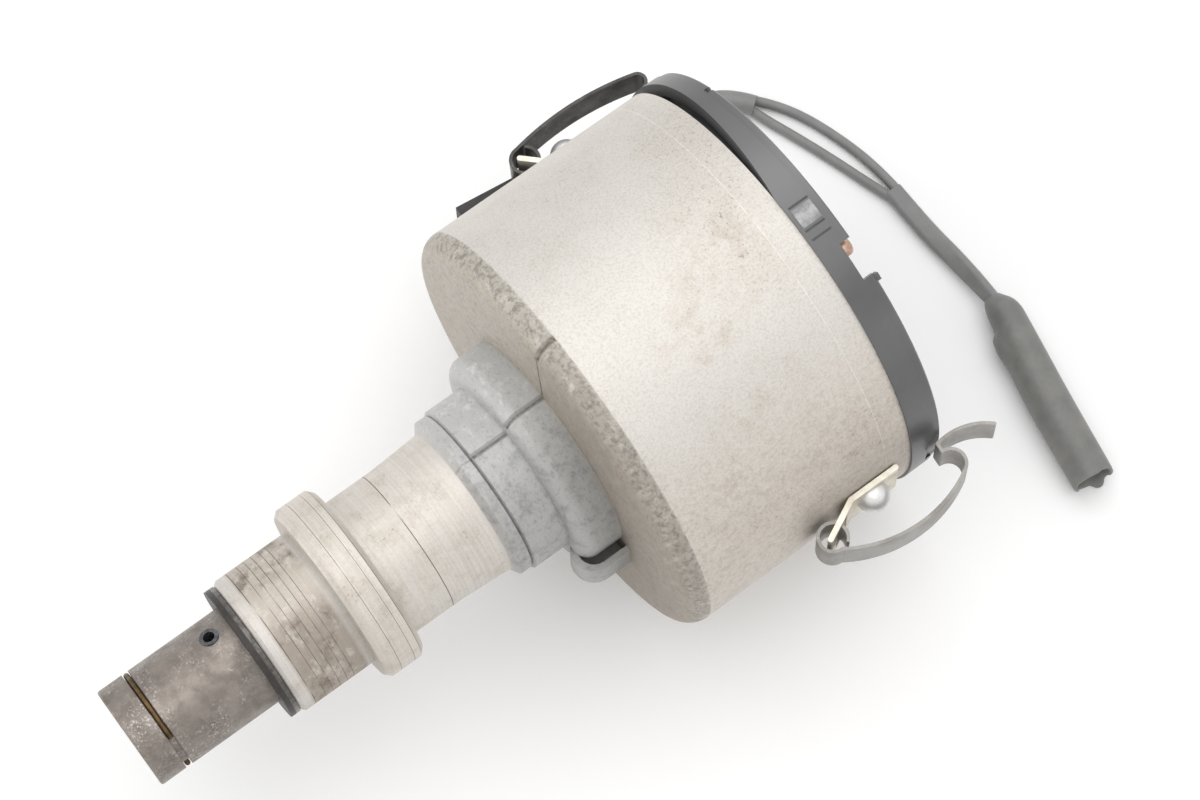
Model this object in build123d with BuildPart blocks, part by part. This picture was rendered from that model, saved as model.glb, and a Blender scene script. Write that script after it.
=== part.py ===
"""An ignition distributor, lying on its side with its cap and rotor arm taken off.

Millimetres. +X runs along the shaft towards the cap end, +Z is up, and the origin is on the
shaft's axis where the flange seats on the engine. Angles round the shaft are given in degrees.
"""

import os
from math import cos, pi, radians, sin, tan

from build123d import *

os.makedirs("parts", exist_ok=True)

# Fits
seat_gap = 0.02
running_gap = 0.04
axial_play = 0.1
clear_gap = 0.4

# Housing casting
pilot_radius = 13.5
pilot_length = 15.2
pilot_chamfer = 0.8
flange_radius = 17.4
flange_thickness = 7.9
flange_chamfer = 1.0
neck_radius = 13.6
neck_flare = 0.65
neck_length = 20.4
collar_radius = 16.5
collar_cone = 1.2
collar_length = 9.6
lip_length = 1.9
lip_step = 0.5
lip_groove = 0.6
boss_radius = 21.0
boss_length = 8.0
boss_rounding = 3.0
cup_radius = 41.0
cup_length = 47.4
cup_rounding = 4.0
cup_wall = 3.5
cup_floor = 6.9
ledge_depth = 20.5
ledge_width = 1.5
lug_radius = 4.2
lug_wall = 1.2
lug_floor = 1.6
lug_height = 8.0
lug_drop = 8.0
lug_inset = 1.7
lug_offset = 3.2
seam_angle = 85.6
seam_side = 0.9
seam_fine_side = 0.35

# Shaft, bushes and drive end
shaft_radius = 6.0
spindle_radius = 4.0
bush_wall = 2.0
lower_bush_length = 24.0
upper_bush_length = 20.0
shim_radius = 13.0
shim_thickness = 0.8
fibre_thickness = 1.0
coupling_radius = 9.6
coupling_length = 24.4
coupling_rounding = 0.5
shaft_insert = 17.0
tang_slot_width = 5.2
tang_slot_length = 14.0
tang_slot_depth = 6.0
ring_groove_offset = 5.7
ring_groove_width = 1.3
ring_groove_depth = 1.1
ring_wire = 1.0
ring_end_angle = 129.4
ring_sweep = 290.0
roll_pin_radius = 1.75
roll_pin_bore = 1.05
roll_pin_offset = 3.9
roll_pin_angle = 64.0
roll_pin_proud = 0.1

# Centrifugal advance
thrust_washer_radius = 11.0
thrust_washer_thickness = 1.5
carrier_radius = 29.0
carrier_thickness = 2.0
pivot_radius = 22.0
pivot_pin_radius = 2.0
weight_thickness = 5.5
weight_width = 12.0
weight_sweep = 112.0
peg_place = 11.0
peg_radius = 1.4
peg_play = 0.35
peg_travel = 1.8
arm_width = 5.2
yoke_radius = 15.5
yoke_thickness = 1.8
post_radius = 1.2
carrier_post_place = 25.0
carrier_post_angle = 147.0
yoke_post_place = 13.0
yoke_post_angle = 234.0
spring_radius = 1.9
spring_wall = 0.6
spring_wire = 0.8

# Rotor sleeve and trigger wheel
sleeve_radius = 7.0
rotor_spindle_radius = 6.0
rotor_spindle_length = 10.0
sleeve_length = 41.8
rotor_key_width = 2.6
rotor_key_depth = 1.4
rotor_key_length = 6.0
wick_pocket_radius = 4.9
wick_pocket_depth = 10.5
wick_length = 6.0
spindle_tip = 1.6
circlip_thickness = 0.8
circlip_depth = 0.6
circlip_reach = 1.5
trigger_hub_radius = 10.0
trigger_hub_length = 8.0
trigger_teeth = 4
tooth_start = 45.0
tooth_width = 5.0
tooth_length = 6.0
air_gap = 0.3
key_radius = 1.0

# Pickup
base_plate_thickness = 1.6
base_plate_bore = 15.0
base_screw_inset = 4.5
base_screw_count = 3
base_screw_start = 60.0
base_screw_radius = 1.75
base_screw_length = 6.0
base_screw_head_radius = 3.2
base_screw_head_height = 1.9
base_lug_radius = 4.2
magnet_thickness = 3.0
magnet_bore = 17.0
stator_edge = 1.8
stator_thickness = 1.4
pole_wall = 1.8
pole_width = 6.5
pole_height = 7.0
stator_rivet_gap = 0.6
stator_rivet_count = 3
stator_rivet_radius = 1.2
stator_rivet_head = 1.6
stator_rivet_head_height = 0.9
coil_width = 7.5
coil_height = 6.4
coil_flange = 0.8
coil_winding_step = 0.8
wire_exit_height = 4.0
wire_exit_inset = 2.3
wire_exit_drop = 9.0
wire_entry_inset = 1.2
wire_entry_rise = 1.4

# Dust cover
band_height = 6.4
band_overhang = 0.5
band_wall = 2.2
band_step = 0.3
band_step_height = 1.6
band_lift = 2.35
lift_angle = 46.0
lift_spread = 45.0
disc_height = 2.9
disc_thickness = 1.5
cover_bore = 15.0
spigot_wall = 1.6
spigot_depth = 4.5
small_notch_angle = 39.0
small_notch_width = 1.4
small_notch_depth = 1.2
wide_notch_angle = -21.0
wide_notch_width = 7.2
wide_notch_depth = 2.2
horn_angle = -27.4
horn_width = 1.3
horn_height = 0.7
cover_rivet_angle = -17.5
cover_rivet_inset = 4.5
cover_rivet_radius = 1.7
cover_rivet_height = 2.4
clip_flat_width = 9.2
clip_flat_height = 3.0
clip_flat_depth = 0.6

# Cap clips and their brackets
clip_width = 7.0
clip_thickness = 0.6
clip_axis_drop = 19.9
clip_axis_out = 3.7
curl_radius = 2.6
curl_sweep = 320.0
clip_roll = 3.5
bow_out_right = 10.6
bow_out_left = 7.4
bow_middle_drop = 1.0
bow_top_drop = 0.6
bow_top_out_right = 7.7
bow_top_out_left = 5.4
clip_turn_right = 2.6
clip_turn_left = 1.6
clip_turn_sweep = 150.0
hook_drop = 1.6
tab_height = 8.6
tab_out = 3.1
tab_middle_height = 4.5
tab_middle_out = 0.5
bracket_width = 9.4
bracket_thickness = 1.0
bracket_top_drop = 3.9
bracket_bend_drop = 13.6
crossbar_length = 1.7
crossbar_lean = 0.34
left_bracket_drop = 3.6
rivet_drop = 9.1
rivet_radius = 1.6
rivet_head_radius = 3.1
rivet_head_height = 3.1
rivet_tail_radius = 2.5
rivet_tail_height = 1.2

# Lead, grommet and connector
grommet_drop = 33.5
grommet_length = 16.0
grommet_low_out = 6.9
grommet_high_out = 4.9
grommet_top_z = -8.4
grommet_bottom_z = -17.0
grommet_lip = 1.2
grommet_inward = 2.4
sheath_diameter = 4.0
wire_diameter = 1.9
inner_wire_diameter = 1.2
bend_share = 0.45
outlet_along = 6.0
outlet_out = 2.0
boot_radius = 3.7
boot_length = 37.2
boot_mouth_radius = 2.7
boot_mouth_depth = 22.0
boot_neck_radius = 2.2
boot_shoulder = 4.0
boot_heading = 258.69
terminal_wall = 0.6
terminal_length = 17.0
terminal_gap = 0.4

# Stations along the shaft
neck_top = flange_thickness + neck_length
collar_base = neck_top + collar_cone
collar_top = collar_base + collar_length
lip_top = collar_base + lip_length
cup_base = collar_top + boss_length
rim = cup_base + cup_length
floor_x = cup_base + cup_floor
ledge_x = rim - ledge_depth
shim_low = -pilot_length - axial_play - shim_thickness
fibre_low = shim_low - fibre_thickness
coupling_end = fibre_low - coupling_length
groove_x = coupling_end + ring_groove_offset
roll_pin_x = fibre_low - roll_pin_offset
shaft_low = fibre_low - shaft_insert
carrier_low = floor_x + thrust_washer_thickness + axial_play
carrier_top = carrier_low + carrier_thickness
weight_low = carrier_top + clear_gap
weight_top = weight_low + weight_thickness
yoke_low = weight_top + clear_gap
yoke_top = yoke_low + yoke_thickness
sleeve_top = yoke_low + sleeve_length
wick_floor = sleeve_top - wick_pocket_depth
spindle_top = wick_floor + circlip_thickness + spindle_tip
base_plate_top = ledge_x + base_plate_thickness
magnet_top = base_plate_top + magnet_thickness
stator_top = magnet_top + stator_thickness
trigger_low = stator_top + 0.5 * (pole_height - trigger_hub_length)
trigger_top = trigger_low + trigger_hub_length
disc_low = rim + disc_height
disc_top = disc_low + disc_thickness
band_top = rim + band_height
clip_axis_x = rim - clip_axis_drop
bracket_top_x = rim - bracket_top_drop
bracket_bend_x = rim - bracket_bend_drop
rivet_x = rim - rivet_drop
grommet_low_x = rim - grommet_drop
grommet_high_x = grommet_low_x + grommet_length

# Radii that follow from the fits
bowl_radius = cup_radius - cup_wall
well_radius = bowl_radius - ledge_width
band_radius = cup_radius + band_overhang
clip_axis_reach = cup_radius + clip_axis_out
grommet_inner_reach = well_radius - grommet_inward
bush_radius = shaft_radius + bush_wall
tooth_reach = trigger_hub_radius + tooth_length
pole_inner = tooth_reach + air_gap
coil_inner = pole_inner + pole_wall + clear_gap
coil_outer_radius = coil_inner + coil_width
stator_rivet_place = coil_outer_radius + stator_rivet_head + stator_rivet_gap
stator_radius = stator_rivet_place + stator_edge
base_screw_place = bowl_radius - base_screw_inset
cover_rivet_place = band_radius - cover_rivet_inset
spigot_radius = bowl_radius - clear_gap
ring_mid_radius = coupling_radius - ring_groove_depth + 0.5 * ring_wire + seat_gap
wick_radius = wick_pocket_radius - clear_gap


def across(x, turn=0):
    """The plane across the shaft at x, with Y to the right and Z up, turned by an angle."""
    return Plane(origin=(x, 0, 0), x_dir=(0, *polar(1, turn)), z_dir=(1, 0, 0))


def polar(radius, angle):
    """A point on such a plane, by its radius and its angle from +Y towards +Z."""
    return (radius * cos(radians(angle)), radius * sin(radians(angle)))


# The two clips stand a little round from the level, the right one up and the left one down
clip_up = Vector(0, sin(radians(clip_roll)), cos(radians(clip_roll)))
clip_left_way = Vector(0, cos(radians(clip_roll)), -sin(radians(clip_roll)))
rivet_left_x = rivet_x - left_bracket_drop


def clip_level(height):
    """The plane that a clip's strip is drawn on, with X along the shaft and Y to the left clip."""
    return Plane(origin=clip_up * height, x_dir=(1, 0, 0), z_dir=clip_up)


def clip_side(x, side, reach=0):
    """The plane that faces out at a clip, at a place along the shaft and a reach from its axis."""
    out = clip_left_way * side
    return Plane(origin=Vector(x, 0, 0) + out * reach, x_dir=(1, 0, 0), z_dir=out)


def ring(label, low, high, inner, outer):
    """A plain ring round the shaft's axis."""
    with BuildPart() as piece:
        with BuildSketch(across(low)):
            Circle(outer)
            Circle(inner, mode=Mode.SUBTRACT)
        extrude(amount=high - low)
    return finish(piece, label)


def finish(piece, label):
    """Names the piece and writes its file."""
    piece.part.label = label
    export_step(piece.part, f"parts/{label}.step")
    return piece


# Housing: the casting is turned as one outline, then the cup is hollowed
with BuildPart() as housing:
    with BuildSketch(Plane.XZ):
        with BuildLine():
            Polyline(
                (-pilot_length, 0),
                (-pilot_length, pilot_radius - pilot_chamfer),
                (pilot_chamfer - pilot_length, pilot_radius),
                (0, pilot_radius),
                (0, flange_radius - flange_chamfer),
                (flange_chamfer, flange_radius),
                (flange_thickness - flange_chamfer, flange_radius),
                (flange_thickness, flange_radius - flange_chamfer),
                (flange_thickness, neck_radius),
                (0.5 * (flange_thickness + neck_top), neck_radius),
                (neck_top, neck_radius + neck_flare),
                (collar_base, collar_radius - lip_step),
                (lip_top, collar_radius - lip_step),
                (lip_top + 0.5 * lip_groove, collar_radius - 2 * lip_step),
                (lip_top + lip_groove, collar_radius),
                (collar_top, collar_radius),
                (collar_top, boss_radius - boss_rounding),
            )
            RadiusArc(
                (collar_top, boss_radius - boss_rounding),
                (collar_top + boss_rounding, boss_radius),
                boss_rounding,
            )
            Polyline(
                (collar_top + boss_rounding, boss_radius),
                (cup_base, boss_radius),
                (cup_base, cup_radius - cup_rounding),
            )
            RadiusArc(
                (cup_base, cup_radius - cup_rounding),
                (cup_base + cup_rounding, cup_radius),
                cup_rounding,
            )
            Polyline(
                (cup_base + cup_rounding, cup_radius),
                (rim, cup_radius),
                (rim, bowl_radius),
                (ledge_x, bowl_radius),
                (ledge_x, well_radius),
                (floor_x, well_radius),
                (floor_x, 0),
                (-pilot_length, 0),
            )
        make_face()
    revolve(axis=Axis.X)
    # lugs under the ledge that take the base plate's screws
    with BuildSketch(across(ledge_x - base_screw_length)):
        with PolarLocations(base_screw_place, base_screw_count, start_angle=base_screw_start):
            Circle(base_lug_radius)
    extrude(amount=base_screw_length)
    # cast lug beside the boss: a trough with a rounded end, open upwards
    lug_y = lug_inset - boss_radius
    lug_x = collar_top + lug_offset
    lug_low = -lug_drop - 0.5 * lug_height
    for height, radius, mode in (
        (0, lug_radius, Mode.ADD),
        (lug_floor, lug_radius - lug_wall, Mode.SUBTRACT),
    ):
        with BuildSketch(Plane(origin=(lug_x, lug_y, lug_low + height))):
            Circle(radius)
            with Locations((0.5 * (cup_base - lug_x), 0)):
                Rectangle(cup_base - lug_x, 2 * radius)
        extrude(amount=lug_height - height, mode=mode)
    # parting line of the mould: a V along the collar and the boss, round their edges and over the face
    for start, length, radius in (
        (lip_top + lip_groove, collar_top - lip_top - lip_groove, collar_radius),
        (collar_top + boss_rounding, boss_length - boss_rounding, boss_radius),
    ):
        with BuildSketch(across(start, seam_angle)):
            with Locations((radius, 0)):
                Rectangle(seam_side, seam_side, rotation=45)
        extrude(amount=length, mode=Mode.SUBTRACT)
    seam_out = Vector(0, *polar(1, seam_angle))
    seam_along = Vector(1, 0, 0).cross(seam_out)
    for start, radius, rounding in (
        (collar_top + boss_rounding, boss_radius, boss_rounding),
        (cup_base + cup_rounding, cup_radius, cup_rounding),
    ):
        with BuildSketch(across(start, seam_angle)):
            with Locations((radius, 0)):
                Rectangle(seam_side, seam_side, rotation=45)
        turn_axis = Axis(Vector(start, 0, 0) + seam_out * (radius - rounding), seam_along)
        revolve(axis=turn_axis, revolution_arc=90, mode=Mode.SUBTRACT)
    face_plane = Plane(origin=Vector(cup_base, 0, 0) + seam_out * boss_radius, x_dir=seam_along, z_dir=seam_out)
    with BuildSketch(face_plane):
        Rectangle(seam_fine_side, seam_fine_side, rotation=45)
    extrude(amount=cup_radius - cup_rounding - boss_radius, mode=Mode.SUBTRACT)
    # bush bores, with an oil space between them
    with BuildSketch(across(-pilot_length)):
        Circle(bush_radius + seat_gap)
    extrude(amount=floor_x + pilot_length, mode=Mode.SUBTRACT)
    with BuildSketch(across(ledge_x - base_screw_length)):
        with PolarLocations(base_screw_place, base_screw_count, start_angle=base_screw_start):
            Circle(base_screw_radius + seat_gap)
    extrude(amount=base_screw_length, mode=Mode.SUBTRACT)
    # window for the lead's grommet
    window_low = grommet_low_x + grommet_lip - seat_gap
    window_high = grommet_high_x - grommet_lip + seat_gap
    window_tall = grommet_top_z - grommet_bottom_z - 2 * grommet_lip + 2 * seat_gap
    grommet_mid_z = 0.5 * (grommet_top_z + grommet_bottom_z)
    with BuildSketch(Plane(origin=(0, 0.5 * cup_radius, 0), x_dir=(1, 0, 0), z_dir=(0, 1, 0))):
        with Locations((0.5 * (window_low + window_high), -grommet_mid_z)):
            Rectangle(window_high - window_low, window_tall)
    extrude(amount=0.5 * cup_radius, mode=Mode.SUBTRACT)
    # holes for the clip rivets
    for side, hole_x in ((1, rivet_left_x), (-1, rivet_x)):
        with BuildSketch(clip_side(hole_x, side)):
            Circle(rivet_radius + seat_gap)
        extrude(amount=2 * cup_radius, mode=Mode.SUBTRACT)
finish(housing, "housing")

# Bushes, washers and shims
lower_bush_top = lower_bush_length - pilot_length
ring("lower_bush", -pilot_length, lower_bush_top, shaft_radius + running_gap, bush_radius)
upper_bush_low = floor_x - upper_bush_length
ring("upper_bush", upper_bush_low, floor_x, shaft_radius + running_gap, bush_radius)
ring("thrust_shim", shim_low, shim_low + shim_thickness, shaft_radius + seat_gap, shim_radius)
ring("fibre_washer", fibre_low, shim_low, shaft_radius + seat_gap, shim_radius)
washer_low = floor_x + axial_play
ring(
    "upper_thrust_washer",
    washer_low,
    washer_low + thrust_washer_thickness,
    shaft_radius + seat_gap,
    thrust_washer_radius,
)

# Drive shaft: a stepped bar with the circlip groove near its tip
with BuildPart() as drive_shaft:
    with BuildSketch(across(shaft_low)):
        Circle(shaft_radius)
    extrude(amount=yoke_low - axial_play - shaft_low)
    with BuildSketch(across(yoke_low - axial_play)):
        Circle(spindle_radius)
    extrude(amount=spindle_top - yoke_low + axial_play)
    with BuildSketch(across(wick_floor)):
        Circle(spindle_radius)
        Circle(spindle_radius - circlip_depth, mode=Mode.SUBTRACT)
    extrude(amount=circlip_thickness, mode=Mode.SUBTRACT)
    pin_plane = Plane(
        origin=(roll_pin_x, 0, 0),
        x_dir=(1, 0, 0),
        z_dir=(0, *polar(1, roll_pin_angle)),
    )
    with BuildSketch(pin_plane.offset(-coupling_radius)):
        Circle(roll_pin_radius + seat_gap)
    extrude(amount=2 * coupling_radius, mode=Mode.SUBTRACT)
finish(drive_shaft, "drive_shaft")

# Drive coupling: a sleeve pinned to the shaft, with a closed slot in its end
with BuildPart() as drive_coupling:
    with BuildSketch(across(coupling_end)):
        Circle(coupling_radius)
    extrude(amount=coupling_length)
    fillet(drive_coupling.edges().sort_by(Axis.X)[0], radius=coupling_rounding)
    with BuildSketch(across(shaft_low)):
        Circle(shaft_radius + seat_gap)
    extrude(amount=shaft_insert, mode=Mode.SUBTRACT)
    with BuildSketch(across(coupling_end)):
        SlotOverall(tang_slot_length, tang_slot_width)
    extrude(amount=tang_slot_depth, mode=Mode.SUBTRACT)
    with BuildSketch(across(groove_x - 0.5 * ring_groove_width)):
        Circle(coupling_radius)
        Circle(coupling_radius - ring_groove_depth, mode=Mode.SUBTRACT)
    extrude(amount=ring_groove_width, mode=Mode.SUBTRACT)
    with BuildSketch(pin_plane.offset(-coupling_radius)):
        Circle(roll_pin_radius + seat_gap)
    extrude(amount=2 * coupling_radius, mode=Mode.SUBTRACT)
finish(drive_coupling, "drive_coupling")

# Roll pin: a hollow pin right through coupling and shaft
pin_half_length = coupling_radius + roll_pin_proud
with BuildPart() as coupling_pin:
    with BuildSketch(pin_plane.offset(-pin_half_length)):
        Circle(roll_pin_radius)
        Circle(roll_pin_bore, mode=Mode.SUBTRACT)
    extrude(amount=2 * pin_half_length)
finish(coupling_pin, "coupling_pin")

# Wire ring: it lies in the coupling's groove and ends short of a full turn
ring_start_angle = ring_end_angle - ring_sweep
ring_start_plane = Plane(
    origin=(groove_x, *polar(ring_mid_radius, ring_start_angle)),
    x_dir=(1, 0, 0),
    z_dir=(0, *polar(1, ring_start_angle + 90)),
)
with BuildPart() as coupling_ring:
    with BuildSketch(ring_start_plane):
        Circle(0.5 * ring_wire)
    revolve(axis=Axis.X, revolution_arc=ring_sweep)
finish(coupling_ring, "coupling_ring")

# Weight carrier: a plate pressed on the shaft, with the weights' pivots and the spring posts
with BuildPart() as weight_carrier:
    with BuildSketch(across(carrier_low)):
        Circle(carrier_radius)
        Circle(shaft_radius + seat_gap, mode=Mode.SUBTRACT)
        with PolarLocations(pivot_radius, 2):
            Circle(pivot_pin_radius + seat_gap, mode=Mode.SUBTRACT)
        with PolarLocations(carrier_post_place, 2, start_angle=carrier_post_angle):
            Circle(post_radius + seat_gap, mode=Mode.SUBTRACT)
    extrude(amount=carrier_thickness)
finish(weight_carrier, "weight_carrier")

with BuildPart() as weight_pivots:
    with BuildSketch(across(carrier_low)):
        with PolarLocations(pivot_radius, 2):
            Circle(pivot_pin_radius)
    extrude(amount=weight_top - carrier_low)
finish(weight_pivots, "weight_pivots")

spring_x = yoke_top + clear_gap + spring_radius
post_top = spring_x + spring_radius
with BuildPart() as spring_posts:
    with BuildSketch(across(carrier_low)):
        with PolarLocations(carrier_post_place, 2, start_angle=carrier_post_angle):
            Circle(post_radius)
    extrude(amount=post_top - carrier_low)
finish(spring_posts, "spring_posts")

# Advance weights: each swings on its pivot and turns the yoke by a peg
weight_arc = CenterArc((0, 0), pivot_radius, 0, weight_sweep)
for letter, turn in (("a", 0), ("b", 180)):
    weight_plane = across(weight_low, turn)
    with BuildPart() as advance_weight:
        with BuildSketch(weight_plane):
            SlotArc(weight_arc, weight_width)
            with Locations((0.5 * (pivot_radius + peg_place), 0)):
                SlotCenterToCenter(pivot_radius - peg_place, arm_width)
            with Locations((pivot_radius, 0)):
                Circle(pivot_pin_radius + running_gap, mode=Mode.SUBTRACT)
        extrude(amount=weight_thickness)
        with BuildSketch(weight_plane.offset(weight_thickness)):
            with Locations((peg_place, 0)):
                Circle(peg_radius)
        extrude(amount=clear_gap + yoke_thickness)
    finish(advance_weight, f"advance_weight_{letter}")

# Advance springs: close-wound coils with an eye at each end
for letter, turn in (("a", 0), ("b", 180)):
    start_y, start_z = polar(carrier_post_place, carrier_post_angle + turn)
    end_y, end_z = polar(yoke_post_place, yoke_post_angle + turn)
    spring_start = Vector(spring_x, start_y, start_z)
    spring_end = Vector(spring_x, end_y, end_z)
    spring_line = (spring_end - spring_start).normalized()
    eye_radius = post_radius + seat_gap + 0.5 * spring_wire
    coil_start = spring_start + spring_line * (eye_radius + 0.5 * spring_wire)
    coil_length = (spring_end - spring_start).length - 2 * eye_radius - spring_wire
    with BuildPart() as advance_spring:
        with BuildSketch(Plane(origin=coil_start, x_dir=(1, 0, 0), z_dir=spring_line)):
            Circle(spring_radius)
            Circle(spring_radius - spring_wall, mode=Mode.SUBTRACT)
        extrude(amount=coil_length)
        for centre, way in ((spring_start, 1), (spring_end, -1)):
            with BuildSketch(Plane(origin=centre - Vector(0.5 * spring_wire, 0, 0), z_dir=(1, 0, 0))):
                Circle(eye_radius + 0.5 * spring_wire)
                Circle(eye_radius - 0.5 * spring_wire, mode=Mode.SUBTRACT)
            extrude(amount=spring_wire)
            # the wire's end crosses the coil's mouth and joins the eye to it
            with BuildSketch(
                Plane(
                    origin=centre + spring_line * way * eye_radius,
                    x_dir=(1, 0, 0),
                    z_dir=spring_line * way,
                )
            ):
                Rectangle(spring_wire, 2 * spring_radius - spring_wall)
            extrude(amount=spring_wire)
    finish(advance_spring, f"advance_spring_{letter}")

# Rotor sleeve: it turns on the shaft's spindle, with the yoke at its foot and the rotor's key slot on top
with BuildPart() as rotor_sleeve:
    with BuildSketch(across(yoke_low)):
        Circle(yoke_radius)
        with PolarLocations(peg_place, 2):
            SlotOverall(
                2 * (peg_radius + peg_play) + peg_travel,
                2 * (peg_radius + peg_play),
                mode=Mode.SUBTRACT,
            )
    extrude(amount=yoke_thickness)
    with BuildSketch(across(yoke_low)):
        Circle(sleeve_radius)
    extrude(amount=sleeve_length - rotor_spindle_length)
    with BuildSketch(across(sleeve_top - rotor_spindle_length)):
        Circle(rotor_spindle_radius)
    extrude(amount=rotor_spindle_length)
    with BuildSketch(across(yoke_top)):
        with PolarLocations(yoke_post_place, 2, start_angle=yoke_post_angle):
            Circle(post_radius)
    extrude(amount=post_top - yoke_top)
    with BuildSketch(across(yoke_low)):
        Circle(spindle_radius + running_gap)
    extrude(amount=sleeve_length, mode=Mode.SUBTRACT)
    with BuildSketch(across(wick_floor - axial_play)):
        Circle(wick_pocket_radius)
    extrude(amount=wick_pocket_depth + axial_play, mode=Mode.SUBTRACT)
    # slot that keys the rotor arm
    with BuildSketch(across(sleeve_top - rotor_key_length)):
        with Locations((rotor_spindle_radius, 0)):
            Rectangle(2 * rotor_key_depth, rotor_key_width)
    extrude(amount=rotor_key_length, mode=Mode.SUBTRACT)
    # groove for the trigger wheel's circlip and the half hole for its key
    with BuildSketch(across(trigger_top)):
        Circle(sleeve_radius)
        Circle(sleeve_radius - circlip_depth, mode=Mode.SUBTRACT)
    extrude(amount=circlip_thickness, mode=Mode.SUBTRACT)
    with BuildSketch(across(trigger_low)):
        with Locations((0, sleeve_radius)):
            Circle(key_radius + seat_gap)
    extrude(amount=trigger_hub_length, mode=Mode.SUBTRACT)
finish(rotor_sleeve, "rotor_sleeve")

spindle_clip_inner = spindle_radius - circlip_depth + seat_gap
ring(
    "spindle_circlip",
    wick_floor + seat_gap,
    wick_floor + circlip_thickness - seat_gap,
    spindle_clip_inner,
    wick_pocket_radius - seat_gap - running_gap,
)
with BuildPart() as felt_wick:
    with BuildSketch(across(spindle_top + axial_play)):
        Circle(wick_radius)
    extrude(amount=wick_length)
finish(felt_wick, "felt_wick")

# Trigger wheel: a hub with teeth, keyed to the sleeve and held by a circlip
with BuildPart() as trigger_wheel:
    with BuildSketch(across(trigger_low)):
        Circle(trigger_hub_radius)
        with PolarLocations(0.5 * tooth_reach, trigger_teeth, start_angle=tooth_start):
            Rectangle(tooth_reach, tooth_width)
        Circle(sleeve_radius + seat_gap, mode=Mode.SUBTRACT)
        with Locations((0, sleeve_radius)):
            Circle(key_radius + seat_gap, mode=Mode.SUBTRACT)
    extrude(amount=trigger_hub_length)
finish(trigger_wheel, "trigger_wheel")

with BuildPart() as trigger_key:
    with BuildSketch(across(trigger_low)):
        with Locations((0, sleeve_radius)):
            Circle(key_radius)
    extrude(amount=trigger_hub_length)
finish(trigger_key, "trigger_key")
ring(
    "trigger_circlip",
    trigger_top + seat_gap,
    trigger_top + circlip_thickness - seat_gap,
    sleeve_radius - circlip_depth + seat_gap,
    sleeve_radius + circlip_reach,
)

# Base plate: it lies on the cup's ledge, with a gap for the pickup's wires
notch_reach = grommet_inner_reach - clear_gap
with BuildPart() as base_plate:
    with BuildSketch(across(ledge_x)):
        Circle(bowl_radius - seat_gap)
        Circle(base_plate_bore, mode=Mode.SUBTRACT)
        with PolarLocations(base_screw_place, base_screw_count, start_angle=base_screw_start):
            Circle(base_screw_radius + seat_gap, mode=Mode.SUBTRACT)
        with PolarLocations(stator_rivet_place, stator_rivet_count):
            Circle(stator_rivet_radius + seat_gap, mode=Mode.SUBTRACT)
        with Locations((notch_reach + 0.5 * cup_wall + ledge_width, grommet_mid_z)):
            Rectangle(cup_wall + 2 * ledge_width, window_tall + 2 * clear_gap, mode=Mode.SUBTRACT)
    extrude(amount=base_plate_thickness)
finish(base_plate, "base_plate")

with BuildPart() as base_plate_screws:
    with BuildSketch(across(ledge_x - base_screw_length)):
        with PolarLocations(base_screw_place, base_screw_count, start_angle=base_screw_start):
            Circle(base_screw_radius)
    extrude(amount=base_screw_length + base_plate_thickness)
    with BuildSketch(across(base_plate_top)):
        with PolarLocations(base_screw_place, base_screw_count, start_angle=base_screw_start):
            Circle(base_screw_head_radius)
    extrude(amount=base_screw_head_height)
    with BuildSketch(across(base_plate_top + 0.5 * base_screw_head_height)):
        with PolarLocations(base_screw_place, base_screw_count, start_angle=base_screw_start):
            Rectangle(2 * base_screw_head_radius, 0.5 * base_screw_radius)
    extrude(amount=base_screw_head_height, mode=Mode.SUBTRACT)
finish(base_plate_screws, "base_plate_screws")

# Pickup: a ring magnet under the pole plate, with the coil round the poles
with BuildPart() as pickup_magnet:
    with BuildSketch(across(base_plate_top)):
        Circle(stator_radius)
        Circle(magnet_bore, mode=Mode.SUBTRACT)
        with PolarLocations(stator_rivet_place, stator_rivet_count):
            Circle(stator_rivet_radius + seat_gap, mode=Mode.SUBTRACT)
        with PolarLocations(base_screw_place, base_screw_count, start_angle=base_screw_start):
            Circle(base_screw_head_radius + clear_gap, mode=Mode.SUBTRACT)
    extrude(amount=magnet_thickness)
finish(pickup_magnet, "pickup_magnet")

with BuildPart() as pickup_stator:
    with BuildSketch(across(magnet_top)):
        Circle(stator_radius)
        Circle(pole_inner, mode=Mode.SUBTRACT)
        with PolarLocations(stator_rivet_place, stator_rivet_count):
            Circle(stator_rivet_radius + seat_gap, mode=Mode.SUBTRACT)
        with PolarLocations(base_screw_place, base_screw_count, start_angle=base_screw_start):
            Circle(base_screw_head_radius + clear_gap, mode=Mode.SUBTRACT)
    extrude(amount=stator_thickness)
    with BuildSketch(across(stator_top)):
        with PolarLocations(pole_inner + pole_wall, trigger_teeth, start_angle=tooth_start):
            Rectangle(4 * pole_wall, pole_width)
        Circle(pole_inner, mode=Mode.SUBTRACT)
        Circle(pole_inner + pole_wall, mode=Mode.INTERSECT)
    extrude(amount=pole_height)
finish(pickup_stator, "pickup_stator")

with BuildPart() as stator_rivets:
    rivet_low = ledge_x - stator_rivet_head_height
    rivet_high = stator_top + stator_rivet_head_height
    with BuildSketch(across(rivet_low)):
        with PolarLocations(stator_rivet_place, stator_rivet_count):
            Circle(stator_rivet_radius)
    extrude(amount=rivet_high - rivet_low)
    for head_x in (rivet_low, stator_top):
        with BuildSketch(across(head_x)):
            with PolarLocations(stator_rivet_place, stator_rivet_count):
                Circle(stator_rivet_head)
        extrude(amount=stator_rivet_head_height)
finish(stator_rivets, "stator_rivets")

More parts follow.
